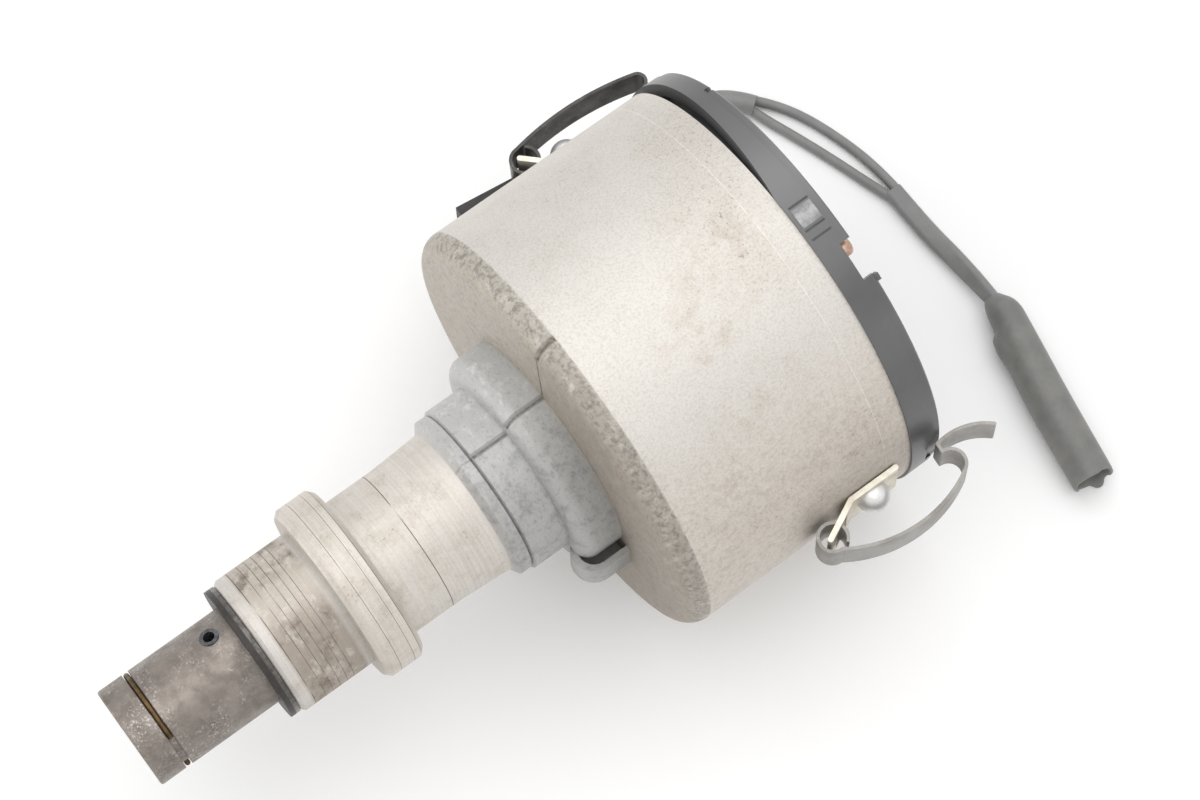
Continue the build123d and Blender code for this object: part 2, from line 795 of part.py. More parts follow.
with BuildPart() as pickup_coil:
    with BuildSketch(across(stator_top)):
        Circle(coil_outer_radius)
        Circle(coil_inner, mode=Mode.SUBTRACT)
    extrude(amount=coil_height)
    with BuildSketch(across(stator_top + coil_flange)):
        Circle(coil_outer_radius)
        Circle(coil_outer_radius - coil_winding_step, mode=Mode.SUBTRACT)
    extrude(amount=coil_height - 2 * coil_flange, mode=Mode.SUBTRACT)
finish(pickup_coil, "pickup_coil")

# Dust cover: a dished disc with a band that sits on the rim and stands off it on one side
lift_slope = band_lift / (1 - cos(radians(lift_spread))) / band_radius
lift_plane = Plane(
    origin=(rim - lift_slope * band_radius * cos(radians(lift_spread)), 0, 0),
    z_dir=(1, -lift_slope * sin(radians(lift_angle)), -lift_slope * cos(radians(lift_angle))),
)


def on_band(angle, radius):
    """A plane across the band at an angle from +Z towards +Y, with its normal along the radius."""
    out = Vector(0, sin(radians(angle)), cos(radians(angle)))
    return Plane(origin=Vector(band_top, 0, 0) + out * radius, x_dir=(1, 0, 0), z_dir=out)


with BuildPart() as dust_cover:
    with BuildSketch(Plane.XZ):
        with BuildLine():
            Polyline(
                (rim, band_radius - band_wall),
                (rim, band_radius),
                (band_top - band_step_height, band_radius),
                (band_top - band_step_height, band_radius - band_step),
                (band_top - band_step, band_radius - band_step),
                (band_top, band_radius - 2 * band_step),
                (band_top, band_radius - band_wall),
                close=True,
            )
        make_face()
    revolve(axis=Axis.X)
    split(bisect_by=lift_plane, keep=Keep.TOP)
    with BuildSketch(across(disc_low)):
        Circle(band_radius - 0.5 * band_wall)
        Circle(cover_bore, mode=Mode.SUBTRACT)
    extrude(amount=disc_thickness)
    with BuildSketch(across(rim - spigot_depth)):
        Circle(spigot_radius)
        Circle(spigot_radius - spigot_wall, mode=Mode.SUBTRACT)
    extrude(amount=disc_low - rim + spigot_depth)
    for angle, width, depth in (
        (small_notch_angle, small_notch_width, small_notch_depth),
        (wide_notch_angle, wide_notch_width, wide_notch_depth),
    ):
        with BuildSketch(on_band(angle, band_radius - 1.5 * band_wall)):
            Rectangle(2 * depth, width)
        extrude(amount=2 * band_wall, mode=Mode.SUBTRACT)
    with BuildSketch(on_band(horn_angle, band_radius - band_wall)):
        Rectangle(2 * horn_height, horn_width)
    extrude(amount=band_wall - 2 * band_step)
    # flats that the clips' tips stand against
    for side in (-1, 1):
        with BuildSketch(clip_side(band_top, side, band_radius)):
            Rectangle(2 * clip_flat_height, clip_flat_width)
        extrude(amount=-clip_flat_depth, mode=Mode.SUBTRACT)
    # hole for the contact rivet
    rivet_seat = polar(cover_rivet_place, 90 - cover_rivet_angle)
    with BuildSketch(across(disc_low)):
        with Locations(rivet_seat):
            Circle(0.5 * cover_rivet_radius + seat_gap)
    extrude(amount=disc_thickness, mode=Mode.SUBTRACT)
finish(dust_cover, "dust_cover")

with BuildPart() as cover_rivet:
    with BuildSketch(across(disc_low)):
        with Locations(rivet_seat):
            Circle(0.5 * cover_rivet_radius)
    extrude(amount=disc_thickness)
    with BuildSketch(across(disc_top)):
        with Locations(rivet_seat):
            Circle(cover_rivet_radius)
    extrude(amount=cover_rivet_height)
    fillet(cover_rivet.edges().sort_by(Axis.X)[-1], radius=0.5 * cover_rivet_radius)
finish(cover_rivet, "cover_rivet")

# Cap clips: a strip of spring steel, curled round its bracket's crossbar, bowed out and hooked in
tip_reach = band_radius + clear_gap + 0.5 * clip_thickness
hook_x = band_top - hook_drop
bow_top_x = band_top - bow_top_drop
bow_middle_x = 0.5 * (clip_axis_x + bow_top_x) - bow_middle_drop
bracket_reach = cup_radius + seat_gap + 0.5 * bracket_thickness
window_x = clip_axis_x + 0.5 * (crossbar_length + curl_radius) + clear_gap
for name, side, bow_out, bow_top_out, turn_radius, drop in (
    ("left", 1, bow_out_left, bow_top_out_left, clip_turn_left, left_bracket_drop),
    ("right", -1, bow_out_right, bow_top_out_right, clip_turn_right, 0),
):
    with BuildPart() as clip:
        with BuildSketch(clip_level(-0.5 * clip_width)):
            with BuildLine():
                curl = CenterArc((clip_axis_x, clip_axis_reach), curl_radius, 90, curl_sweep)
                bow = ThreePointArc(
                    curl @ 0,
                    (bow_middle_x, cup_radius + bow_out),
                    (bow_top_x, cup_radius + bow_top_out),
                )
                turn = JernArc(
                    start=bow @ 1,
                    tangent=bow % 1,
                    radius=turn_radius,
                    arc_size=-clip_turn_sweep,
                )
                tip = Line(turn @ 1, (hook_x, tip_reach))
                # the finger tab is on the right clip only: the left one ends at its hook
                if side < 0:
                    ThreePointArc(
                        tip @ 1,
                        (band_top + tab_middle_height, tip_reach + tab_middle_out),
                        (band_top + tab_height, tip_reach + tab_out),
                    )
                offset(amount=0.5 * clip_thickness, side=Side.BOTH)
            make_face()
            if side < 0:
                mirror(about=Plane.XZ, mode=Mode.REPLACE)
        extrude(amount=clip_width)
    finish(clip, f"clip_{name}")

    # its bracket: a strip riveted to the wall, with a window that leaves a crossbar at the end
    with BuildPart() as clip_bracket:
        with BuildSketch(clip_level(-0.5 * bracket_width)):
            with BuildLine():
                Polyline(
                    (bracket_top_x - drop, bracket_reach),
                    (bracket_bend_x - drop, bracket_reach),
                    (clip_axis_x - 0.5 * crossbar_length, clip_axis_reach + crossbar_lean),
                )
                offset(amount=0.5 * bracket_thickness, side=Side.BOTH)
            make_face()
            if side < 0:
                mirror(about=Plane.XZ, mode=Mode.REPLACE)
        extrude(amount=bracket_width)
        with BuildSketch(clip_level(-0.5 * clip_width - clear_gap)):
            with Locations((window_x, side * clip_axis_reach)):
                Rectangle(curl_radius + 2 * clear_gap, 3 * curl_radius)
        extrude(amount=clip_width + 2 * clear_gap, mode=Mode.SUBTRACT)
        with BuildSketch(clip_side(rivet_x - drop, side)):
            Circle(rivet_radius + seat_gap)
        extrude(amount=2 * cup_radius, mode=Mode.SUBTRACT)
    finish(clip_bracket, f"clip_bracket_{name}")

# Clip rivets: domed outside, upset inside the cup
rivet_seat_reach = cup_radius + seat_gap + bracket_thickness
rivet_tail_reach = bowl_radius - rivet_tail_height - clear_gap
dome_radius = (rivet_head_radius**2 + rivet_head_height**2) / (2 * rivet_head_height)
with BuildPart() as clip_rivets:
    for side, hole_x in ((1, rivet_left_x), (-1, rivet_x)):
        rivet_way = clip_left_way * side
        rivet_axis = Axis((hole_x, 0, 0), rivet_way)
        with BuildSketch(Plane(origin=(hole_x, 0, 0), x_dir=rivet_way, z_dir=clip_up)):
            with BuildLine():
                Polyline(
                    (rivet_tail_reach, 0),
                    (rivet_tail_reach, rivet_tail_radius),
                    (rivet_tail_reach + rivet_tail_height, rivet_tail_radius),
                    (rivet_tail_reach + rivet_tail_height, rivet_radius),
                    (rivet_seat_reach, rivet_radius),
                    (rivet_seat_reach, rivet_head_radius),
                )
                RadiusArc(
                    (rivet_seat_reach, rivet_head_radius),
                    (rivet_seat_reach + rivet_head_height, 0),
                    dome_radius,
                )
                Line((rivet_seat_reach + rivet_head_height, 0), (rivet_tail_reach, 0))
            make_face()
        revolve(axis=rivet_axis)
finish(clip_rivets, "clip_rivets")

# Lead grommet: a rubber wedge outside the wall and a plug through its window
with BuildPart() as lead_grommet:
    with BuildSketch(Plane.XY.offset(grommet_bottom_z)):
        with BuildLine():
            Polyline(
                (grommet_low_x, 0.5 * cup_radius),
                (grommet_low_x, cup_radius + grommet_low_out),
                (grommet_high_x, cup_radius + grommet_high_out),
                (grommet_high_x, 0.5 * cup_radius),
                close=True,
            )
        make_face()
    extrude(amount=grommet_top_z - grommet_bottom_z)
    with BuildSketch(across(grommet_low_x)):
        Circle(cup_radius + seat_gap)
    extrude(amount=grommet_high_x - grommet_low_x, mode=Mode.SUBTRACT)
    with BuildSketch(Plane(origin=(0, grommet_inner_reach, 0), x_dir=(1, 0, 0), z_dir=(0, 1, 0))):
        with Locations((0.5 * (window_low + window_high), -grommet_mid_z)):
            Rectangle(window_high - window_low - 2 * seat_gap, window_tall - 2 * seat_gap)
    extrude(amount=cup_radius + 0.5 * grommet_lip - grommet_inner_reach)
finish(lead_grommet, "lead_grommet")


def bend_radii(points):
    """The largest radius that each corner of a route has room for."""
    radii = []
    for before, here, after in zip(points, points[1:], points[2:]):
        first = Vector(*here) - Vector(*before)
        second = Vector(*after) - Vector(*here)
        turn = radians(first.get_angle(second))
        radii.append(bend_share * min(first.length, second.length) / tan(0.5 * turn))
    return radii


def wire_along(label, routes, diameter):
    """Round wire along each route, as one piece."""
    with BuildPart() as piece:
        for points in routes:
            radii = bend_radii(points)
            with BuildLine() as path:
                FilletPolyline(*points, radius=radii)
            with BuildSketch(Plane(origin=path.line @ 0, z_dir=path.line % 0)):
                Circle(0.5 * diameter)
            sweep(path=path.wires()[0])
            section = pi * (0.5 * diameter) ** 2
            length = path.wires()[0].length
            print(label, "length", round(length, 1), "radii", [round(radius, 1) for radius in radii])
            print(label, "section times length", round(section * length, 1))
    print(label, "volume", round(piece.part.volume, 1))
    return finish(piece, label)


# The pickup's own two wires, from the coil to the grommet
coil_exit = Vector(stator_top + wire_exit_height, coil_outer_radius - wire_exit_inset, -wire_exit_drop)
grommet_entry = Vector(
    grommet_high_x - grommet_lip,
    grommet_inner_reach + wire_entry_inset,
    grommet_mid_z + wire_entry_rise,
)
pickup_routes = []
for aside in (1, -1):
    wire_start = coil_exit + Vector(0.9, 0.15, 0.8) * aside
    wire_end = grommet_entry + Vector(0, 0.15, 0.95) * aside
    first_bend = wire_start + Vector(-0.7, 5.2, -1.1)
    second_bend = wire_end + Vector(3.7, -0.8, 0.1)
    pickup_routes.append([tuple(wire_start), tuple(first_bend), tuple(second_bend), tuple(wire_end)])
wire_along("pickup_wires", pickup_routes, inner_wire_diameter)

# The lead's route: down from the grommet, along the table beside the cup and round its open end.
# Each point is given from the place where the lead leaves the grommet.
outlet = Vector(grommet_low_x + outlet_along, cup_radius + outlet_out, grommet_bottom_z)


def from_outlet(*places):
    """The points of a route, from their places relative to the grommet's outlet."""
    return [tuple(outlet + Vector(*place)) for place in places]


sheath_points = from_outlet(
    (0, 0, 0),
    (0, 0, -7.0),
    (2.2, 1.6, -14.0),
    (8.0, 3.4, -19.5),
    (17.0, 5.0, -22.2),
    (28.0, 6.2, -22.5),
    (39.0, 6.0, -22.4),
    (49.0, 4.2, -22.5),
    (55.6, 1.4, -22.5),
)
upper_wire_points = from_outlet(
    (56.0, 2.3, -22.5),
    (59.4, -1.0, -23.2),
    (64.4, -9.4, -23.5),
    (67.8, -20.8, -23.5),
    (69.4, -31.0, -22.7),
)
lower_wire_points = from_outlet(
    (55.2, 0.5, -22.5),
    (57.2, -2.8, -23.2),
    (60.0, -8.5, -23.5),
    (64.0, -19.4, -23.5),
    (67.4, -31.4, -22.7),
)
tail_points = from_outlet(
    (68.4, -31.2, -22.5),
    (69.7, -42.2, -22.5),
    (70.5, -53.8, -22.0),
    (70.1, -65.2, -20.8),
)
wire_along("lead_sheath", [sheath_points], sheath_diameter)
wire_along("lead_wire_upper", [upper_wire_points], wire_diameter)
wire_along("lead_wire_lower", [lower_wire_points], wire_diameter)
wire_along("lead_tail", [tail_points], sheath_diameter)

# Connector boot: a rubber sleeve with a shoulder, open at its far end, round a tube terminal
boot_start = Vector(*tail_points[-1])
boot_way = Vector(cos(radians(boot_heading)), sin(radians(boot_heading)), 0)
boot_plane = Plane(origin=boot_start, x_dir=boot_way, z_dir=(0, 0, 1))
boot_axis = Axis(boot_start, boot_way)
mouth_floor = boot_length - boot_mouth_depth
with BuildPart() as connector_boot:
    with BuildSketch(boot_plane):
        with BuildLine():
            Line((0, 0), (0, boot_neck_radius))
            Spline(
                (0, boot_neck_radius),
                (0.4 * boot_shoulder, 0.5 * (boot_neck_radius + boot_radius)),
                (boot_shoulder, boot_radius),
                tangents=((0.3, 1), (1, 0)),
            )
            Polyline(
                (boot_shoulder, boot_radius),
                (boot_length, boot_radius),
                (boot_length, boot_mouth_radius),
                (mouth_floor, boot_mouth_radius),
                (mouth_floor, 0),
                (0, 0),
            )
        make_face()
    revolve(axis=boot_axis)
finish(connector_boot, "connector_boot")

terminal_radius = boot_mouth_radius - terminal_gap
with BuildPart() as connector_terminal:
    with BuildSketch(Plane(origin=boot_start + boot_way * mouth_floor, z_dir=boot_way)):
        Circle(terminal_radius)
    extrude(amount=terminal_length)
    with BuildSketch(Plane(origin=boot_start + boot_way * (mouth_floor + terminal_wall), z_dir=boot_way)):
        Circle(terminal_radius - terminal_wall)
    extrude(amount=terminal_length, mode=Mode.SUBTRACT)
finish(connector_terminal, "connector_terminal")
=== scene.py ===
# %% [markdown]
# # An ignition distributor, dressed for its picture
#
# The object is a used distributor that lies on its side, with its cap and rotor arm off. Every solid
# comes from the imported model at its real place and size. This lesson adds what the solids lack: the
# camera, the lead as a soft cord, a rubber boot, wound springs, small moulded marks, and a finish for
# each surface.

# %% Load the frame
import math

import bmesh
import bpy
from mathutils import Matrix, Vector


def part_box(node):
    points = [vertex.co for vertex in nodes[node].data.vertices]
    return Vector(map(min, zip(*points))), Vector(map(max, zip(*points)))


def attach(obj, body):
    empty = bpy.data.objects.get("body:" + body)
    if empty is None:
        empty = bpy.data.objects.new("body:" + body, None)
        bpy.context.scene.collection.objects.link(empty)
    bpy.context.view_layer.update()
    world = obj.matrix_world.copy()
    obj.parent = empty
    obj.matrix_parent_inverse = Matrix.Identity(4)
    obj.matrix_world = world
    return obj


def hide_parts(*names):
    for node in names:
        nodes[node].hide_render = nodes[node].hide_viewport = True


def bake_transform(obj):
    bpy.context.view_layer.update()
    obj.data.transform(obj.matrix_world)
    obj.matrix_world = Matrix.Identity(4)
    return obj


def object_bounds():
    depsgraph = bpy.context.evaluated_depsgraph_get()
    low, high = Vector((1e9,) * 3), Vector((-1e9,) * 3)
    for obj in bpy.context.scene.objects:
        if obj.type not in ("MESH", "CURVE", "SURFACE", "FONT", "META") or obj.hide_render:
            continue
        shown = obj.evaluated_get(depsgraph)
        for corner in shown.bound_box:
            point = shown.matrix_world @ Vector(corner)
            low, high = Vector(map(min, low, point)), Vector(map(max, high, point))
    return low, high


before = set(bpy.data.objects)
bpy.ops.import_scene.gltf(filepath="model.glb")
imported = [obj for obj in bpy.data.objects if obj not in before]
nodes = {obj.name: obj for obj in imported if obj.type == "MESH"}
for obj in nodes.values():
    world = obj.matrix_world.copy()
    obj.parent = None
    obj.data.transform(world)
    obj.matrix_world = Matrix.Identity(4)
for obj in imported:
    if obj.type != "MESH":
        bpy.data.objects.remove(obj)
cad_low, cad_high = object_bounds()
MM = 0.001
print("CAD box in mm:", [round(side / MM, 1) for side in cad_high - cad_low])

# %% [markdown]
# ## Camera
#
# The picture was taken from above and from the drive end's side. A camera could be placed by hand
# until it looks right. Here it is aimed at a point on the shaft, by two angles and a distance, so each
# number can be read and changed by itself.

# %% Camera
view_azimuth = math.radians(-36.68)
view_elevation = math.radians(72.34)
view_distance = 555.5 * MM
view_target = Vector((58.5, 0.7, 0.0)) * MM
view_lens = 95.1
sensor_width = 36.0
nearest_seen = 10 * MM
farthest_seen = 10.0

towards_camera = Vector((
    math.sin(view_azimuth) * math.cos(view_elevation),
    -math.cos(view_azimuth) * math.cos(view_elevation),
    math.sin(view_elevation),
))
camera_data = bpy.data.cameras.new("picture camera")
camera_data.lens = view_lens
camera_data.sensor_width = sensor_width
camera_data.clip_start = nearest_seen
camera_data.clip_end = farthest_seen
camera = bpy.data.objects.new("picture camera", camera_data)
bpy.context.collection.objects.link(camera)
camera.location = view_target + towards_camera * view_distance
camera.rotation_euler = (-towards_camera).to_track_quat("-Z", "Y").to_euler()
bpy.context.scene.camera = camera
print("camera at mm:", [round(side / MM, 1) for side in camera.location])

# %% [markdown]
# ## Lead
#
# The pickup's lead is a pair of wires in rubber. It leaves a grommet at the side, lies on the table
# round the open end, is split into its two wires for a short way and ends in a rubber boot. A mesh
# tube could be bent along that way. One smooth NURBS line with a round section is simpler: its control
# points are the route, and the curve does the rest.

# %% Routes of the lead
# the lead leaves the grommet's underside, this far along the shaft from its edge and out from the shaft
outlet_along = 6.0 * MM
outlet_aside = 43.0 * MM
grommet_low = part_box("lead_grommet")[0]
outlet = Vector((grommet_low.x + outlet_along, outlet_aside, grommet_low.z))
sheath_diameter = 4.0 * MM
wire_diameter = 1.9 * MM

# control points of each stretch, in mm from the outlet
sheath_places = [
    (0, 0, 0),
    (0, 0, -7.0),
    (2.2, 1.6, -14.0),
    (8.0, 3.4, -19.5),
    (17.0, 5.0, -22.2),
    (28.0, 6.2, -22.5),
    (39.0, 6.0, -22.4),
    (49.0, 4.8, -22.5),
    (55.6, 2.6, -22.5),
    (58.9, -2.0, -22.6),
]
upper_wire_places = [
    (57.5, 1.1, -22.7),
    (61.2, -2.3, -23.3),
    (65.6, -9.4, -23.5),
    (69.0, -20.0, -23.5),
    (70.3, -28.5, -23.2),
    (70.3, -33.5, -22.8),
]
lower_wire_places = [
    (57.0, 0.7, -22.7),
    (58.6, -4.4, -23.3),
    (61.3, -11.0, -23.5),
    (64.5, -20.0, -23.5),
    (67.1, -28.6, -23.2),
    (68.8, -33.9, -22.8),
]
tail_places = [
    (69.5, -31.8, -22.7),
    (69.5, -42.0, -22.6),
    (70.3, -52.0, -21.8),
    (70.3, -61.6, -20.4),
]
print("outlet at mm:", [round(side / MM, 1) for side in outlet])

# %% A line along a route
curve_steps = 24
section_steps = 8


def route(name, places, width):
    """A smooth line with the places as its control points, in mm from the outlet, and its width."""
    curve = bpy.data.curves.new(name, "CURVE")
    curve.dimensions = "3D"
    curve.resolution_u = curve_steps
    curve.use_fill_caps = True
    spline = curve.splines.new("NURBS")
    spline.points.add(len(places) - 1)
    for control, place in zip(spline.points, places):
        control.co = (*(outlet + Vector(place) * MM), 1.0)
        # a curve's box grows by its points' radius, so that is the real one and the section is 1
        control.radius = 0.5 * width
    spline.order_u = 3
    spline.use_endpoint_u = True
    piece = bpy.data.objects.new(name, curve)
    bpy.context.collection.objects.link(piece)
    return piece


def make_round(piece):
    """Gives a line a round section."""
    piece.data.bevel_depth = 1.0
    piece.data.bevel_resolution = section_steps


# %% Sheath and the two bare wires
sheath = route("lead_sheath_cord", sheath_places, sheath_diameter)
upper_wire = route("lead_upper_cord", upper_wire_places, wire_diameter)
lower_wire = route("lead_lower_cord", lower_wire_places, wire_diameter)
for cord, node, slot in (
    (sheath, "lead_sheath", "lead_rubber"),
    (upper_wire, "lead_wire_upper", "wire_insulation"),
    (lower_wire, "lead_wire_lower", "wire_insulation"),
):
    make_round(cord)
    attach(cord, "housing_body")
    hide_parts(node)
print("sheath and wires made")

# %% [markdown]
# ## Boot
#
# A moulded rubber boot covers the plug at the lead's end. It flares from the cable to a rounded
# shoulder, has a lump at one side near the shoulder and a ragged rim with a tongue. It could be a
# turned outline, but the lump and the rim aren't round, so it starts as a disc the size of the neck,
# which is extruded and scaled from station to station, hollowed, and then pushed about at listed places.

# %% Boot's outline
boot_heading = math.radians(258.8)
boot_way = Vector((math.cos(boot_heading), math.sin(boot_heading), 0.0))
boot_side = Vector((boot_way.y, -boot_way.x, 0.0))
boot_overlap = 1.2 * MM
boot_start = outlet + Vector(tail_places[-1]) * MM - boot_way * boot_overlap
boot_sides = 40
boot_mouth_radius = 2.9
boot_mouth_depth = 21.0
# distance from the neck, radius there, and how far the middle lies towards the lump's side, in mm
boot_stations = [
    (0.0, 1.5, 0.0),
    (0.9, 1.95, 0.0),
    (1.7, 2.6, -0.3),
    (2.9, 3.1, -0.55),
    (4.3, 3.4, -0.7),
    (6.2, 3.5, -0.65),
    (7.2, 3.55, -0.6),
    (8.0, 3.65, -0.5),
    (9.5, 3.75, -0.4),
    (11.3, 3.85, -0.3),
    (12.8, 3.95, -0.2),
    (15.0, 4.05, -0.1),
    (21.0, 4.2, 0.1),
    (29.0, 4.2, 0.0),
    (35.0, 4.15, -0.2),
    (39.7, 4.15, -0.3),
    (40.5, 4.05, -0.3),
]
print("boot stations:", len(boot_stations))

# %% Boot's body
bpy.ops.object.select_all(action="DESELECT")
bpy.ops.mesh.primitive_circle_add(
    vertices=boot_sides,
    radius=boot_stations[0][1] * MM,
    fill_type="NGON",
    location=boot_start,
    rotation=boot_way.to_track_quat("Z", "Y").to_euler(),
)
boot = bpy.context.object
boot.name = "rubber_boot"
bpy.ops.object.transform_apply(location=True, rotation=True, scale=True)
bpy.ops.object.mode_set(mode="EDIT")
bpy.ops.mesh.select_all(action="SELECT")
for here, there in zip(boot_stations, boot_stations[1:]):
    place, radius, aside = here
    next_place, next_radius, next_aside = there
    step = (boot_way * (next_place - place) + boot_side * (next_aside - aside)) * MM
    bpy.ops.mesh.extrude_region_move(TRANSFORM_OT_translate={"value": step})
    bpy.ops.transform.resize(
        value=[next_radius / radius] * 3,
        center_override=boot_start + (boot_way * next_place + boot_side * next_aside) * MM,
    )
bpy.ops.mesh.inset(thickness=(boot_stations[-1][1] - boot_mouth_radius) * MM)
bpy.ops.mesh.extrude_region_move(TRANSFORM_OT_translate={"value": -boot_way * boot_mouth_depth * MM})
bpy.ops.mesh.select_all(action="SELECT")
bpy.ops.mesh.normals_make_consistent(inside=False)
print("boot faces before rounding:", len(bmesh.from_edit_mesh(boot.data).faces))

# %% Lump, tongue and ragged rim
lump_centre = boot_start + boot_way * 10.1 * MM + boot_side * 3.4 * MM
# how far from its centre the lump is pushed out, and by how much, in mm
lump_pushes = [(2.9, 0.45), (2.3, 0.45)]
rim_start = 39.4 * MM
# bits of the rim: middle and half width round the boot from its top, in degrees, and reach in mm
rim_bits = [
    (205, 16, 0.9),
    (205, 9, 0.3),
    (105, 32, 0.45),
    (-85, 26, 0.4),
    (-40, 20, -0.3),
]


def select_points(piece, wanted):
    """Selects the points of a piece in edit mode whose place passes a test, and counts them."""
    mesh = bmesh.from_edit_mesh(piece.data)
    for element in (*mesh.faces, *mesh.edges, *mesh.verts):
        element.select = False
    chosen = [point for point in mesh.verts if wanted(point.co)]
    for point in chosen:
        point.select = True
    mesh.select_flush(True)
    bmesh.update_edit_mesh(piece.data)
    return len(chosen)


def on_rim(place, middle, half_width):
    """Whether a point is on the rim, within a half width of a middle, both in degrees."""
    off = place - boot_start
    turn = math.degrees(math.atan2(off.dot(boot_side), off.z))
    apart = abs((turn - middle + 180) % 360 - 180)
    return off.dot(boot_way) > rim_start and apart < half_width


bpy.ops.mesh.select_mode(type="VERT")
for reach, push in lump_pushes:
    found = select_points(boot, lambda place: (place - lump_centre).length < reach * MM)
    bpy.ops.transform.translate(value=boot_side * push * MM)
    print("lump points:", found)
for middle, half_width, reach in rim_bits:
    found = select_points(boot, lambda place: on_rim(place, middle, half_width))
    bpy.ops.transform.translate(value=boot_way * reach * MM)
    print("rim points:", found)

# %% Boot rounded
boot_rounds = 2
bpy.ops.object.mode_set(mode="OBJECT")
rounding = boot.modifiers.new("rounding", "SUBSURF")
rounding.levels = boot_rounds
rounding.render_levels = boot_rounds
bpy.ops.object.modifier_apply(modifier=rounding.name)
bpy.ops.object.shade_smooth()
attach(boot, "housing_body")
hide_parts("connector_boot")
print("boot triangles:", 2 * len(boot.data.polygons))

# %% [markdown]
# ### Flat tail
#
# Between the split and the boot the two wires are still joined, so this stretch is flat. A curve can
# take any closed line as its section: here two half rounds and the flat runs between them. The
# section turns along the way, as a flat cable does when it is laid down.

# %% Tail's section
tail_width = 3.8 * MM
tail_thickness = 2.0 * MM
# how far the section has turned at each of the tail's control points, in degrees
tail_turns = (0.0, 5.0, 35.0, 75.0)


def flat_section(name, slimness, steps=12):
    """A closed line round a flat pair of wires, one unit either side, to be a cord's section."""
    corners = []
    for side in (1, -1):
        for step in range(steps + 1):
            angle = math.pi * (0.5 * side - step / steps)
            across = side * (1 - slimness) + slimness * math.cos(angle)
            corners.append((across, slimness * math.sin(angle)))
    curve = bpy.data.curves.new(name, "CURVE")
    curve.dimensions = "2D"
    spline = curve.splines.new("POLY")
    spline.points.add(len(corners) - 1)
    for control, (across, up) in zip(spline.points, corners):
        control.co = (across, up, 0.0, 1.0)
    spline.use_cyclic_u = True
    section = bpy.data.objects.new(name, curve)
    bpy.context.collection.objects.link(section)
    section.hide_render = True
    return section


# %% Tail
tail = route("lead_tail_cord", tail_places, tail_width)
tail.data.bevel_mode = "OBJECT"
tail.data.bevel_object = flat_section("tail_section", tail_thickness / tail_width)
tail.data.twist_mode = "Z_UP"
for control, turn in zip(tail.data.splines[0].points, tail_turns):
    control.tilt = math.radians(turn)
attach(tail, "housing_body")
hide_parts("lead_tail")
print("tail made, twisting by degrees:", tail_turns[-1])

# %% [markdown]
# ## Moulded marks on the dust cover
#
# The black cover's band carries a small smooth pad between two cross lines, and a third line beside
# it, left by its mould. They stand hardly a tenth of a millimetre proud. Flat plates could be laid on,
# but the band is round. So each mark is cut from a thin tube round the shaft: the points outside its
# angle are deleted, and what is left gets a thickness and rounded edges.

# %% Sizes of the marks
band_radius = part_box("dust_cover")[1].y
pad_low = 95.2 * MM
pad_high = 99.1 * MM
tube_sides = 720
mark_proud = 0.09 * MM
mark_sunk = 0.05 * MM
mark_edge = 0.4 * mark_proud
rounded_above = math.radians(50)
smooth_below = math.radians(40)
# each mark's two angles round the shaft from the top towards +Y, on whole steps of the tube, in degrees
cover_marks = {
    "cover_pad": (-8.5, -3.5),
    "cover_line_a": (-3.0, -2.5),
    "cover_line_b": (-9.5, -9.0),
    "cover_line_c": (-12.0, -11.5),
}
angle_slack = 0.01


def outside(place, first, last):
    """Whether a point lies outside two angles round the shaft, in degrees."""
    turn = math.degrees(math.atan2(place.y, place.z))
    return not first - angle_slack <= turn <= last + angle_slack


# %% Pad and lines
for name, (first, last) in cover_marks.items():
    bpy.ops.object.select_all(action="DESELECT")
    bpy.ops.mesh.primitive_cylinder_add(
        vertices=tube_sides,
        radius=band_radius - mark_sunk,
        depth=pad_high - pad_low,
        end_fill_type="NOTHING",
        location=(0.5 * (pad_low + pad_high), 0, 0),
        rotation=(0, math.radians(90), 0),
    )
    mark = bpy.context.object
    mark.name = name
    bpy.ops.object.transform_apply(location=True, rotation=True, scale=True)
    bpy.ops.object.mode_set(mode="EDIT")
    bpy.ops.mesh.select_mode(type="VERT")
    select_points(mark, lambda place: outside(place, first, last))
    bpy.ops.mesh.delete(type="VERT")
    bpy.ops.mesh.select_all(action="SELECT")
    bpy.ops.mesh.normals_make_consistent(inside=False)
    bpy.ops.object.mode_set(mode="OBJECT")
    # an open sheet has no inside, so its faces are turned away from the shaft here
    if sum(face.normal.z * face.center.z for face in mark.data.polygons) < 0:
        mark.data.flip_normals()
    shell = mark.modifiers.new("shell", "SOLIDIFY")
    shell.thickness = mark_proud + mark_sunk
    shell.offset = 1.0
    bpy.ops.object.modifier_apply(modifier=shell.name)
    edge = mark.modifiers.new("edge", "BEVEL")
    edge.width = mark_edge
    edge.segments = 2
    edge.angle_limit = rounded_above
    bpy.ops.object.modifier_apply(modifier=edge.name)
    bpy.ops.object.shade_smooth_by_angle(angle=smooth_below)
    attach(mark, "cover_body")
    print(name, "faces:", len(mark.data.polygons))

# %% [markdown]
# ## Advance springs
#
# Inside the cup, two coil springs hold the rotor's yoke back against the weights. Each hooks over a post
# on the carrier and one on the yoke, and stretches as the yoke turns. A helix could be drawn as a curve.
# Here the wire's round section is set aside from the middle and wound up by a Screw modifier, as a real
# spring is. A bar across each mouth and a ring make its eye.

# %% Spring sizes
spring_wire = 0.8 * MM
coil_radius = 1.5 * MM
coil_turns = 20
coil_steps = 16
eye_radius = 1.62 * MM
eye_steps = 32
wire_sides = 10
wire_smooth_below = math.radians(50)
quarter_turn = math.radians(90)
# each post's distance from the shaft, and its angle from +Y towards +Z in degrees
carrier_post = (25.0 * MM, 147.0)
yoke_post = (13.0 * MM, 234.0)


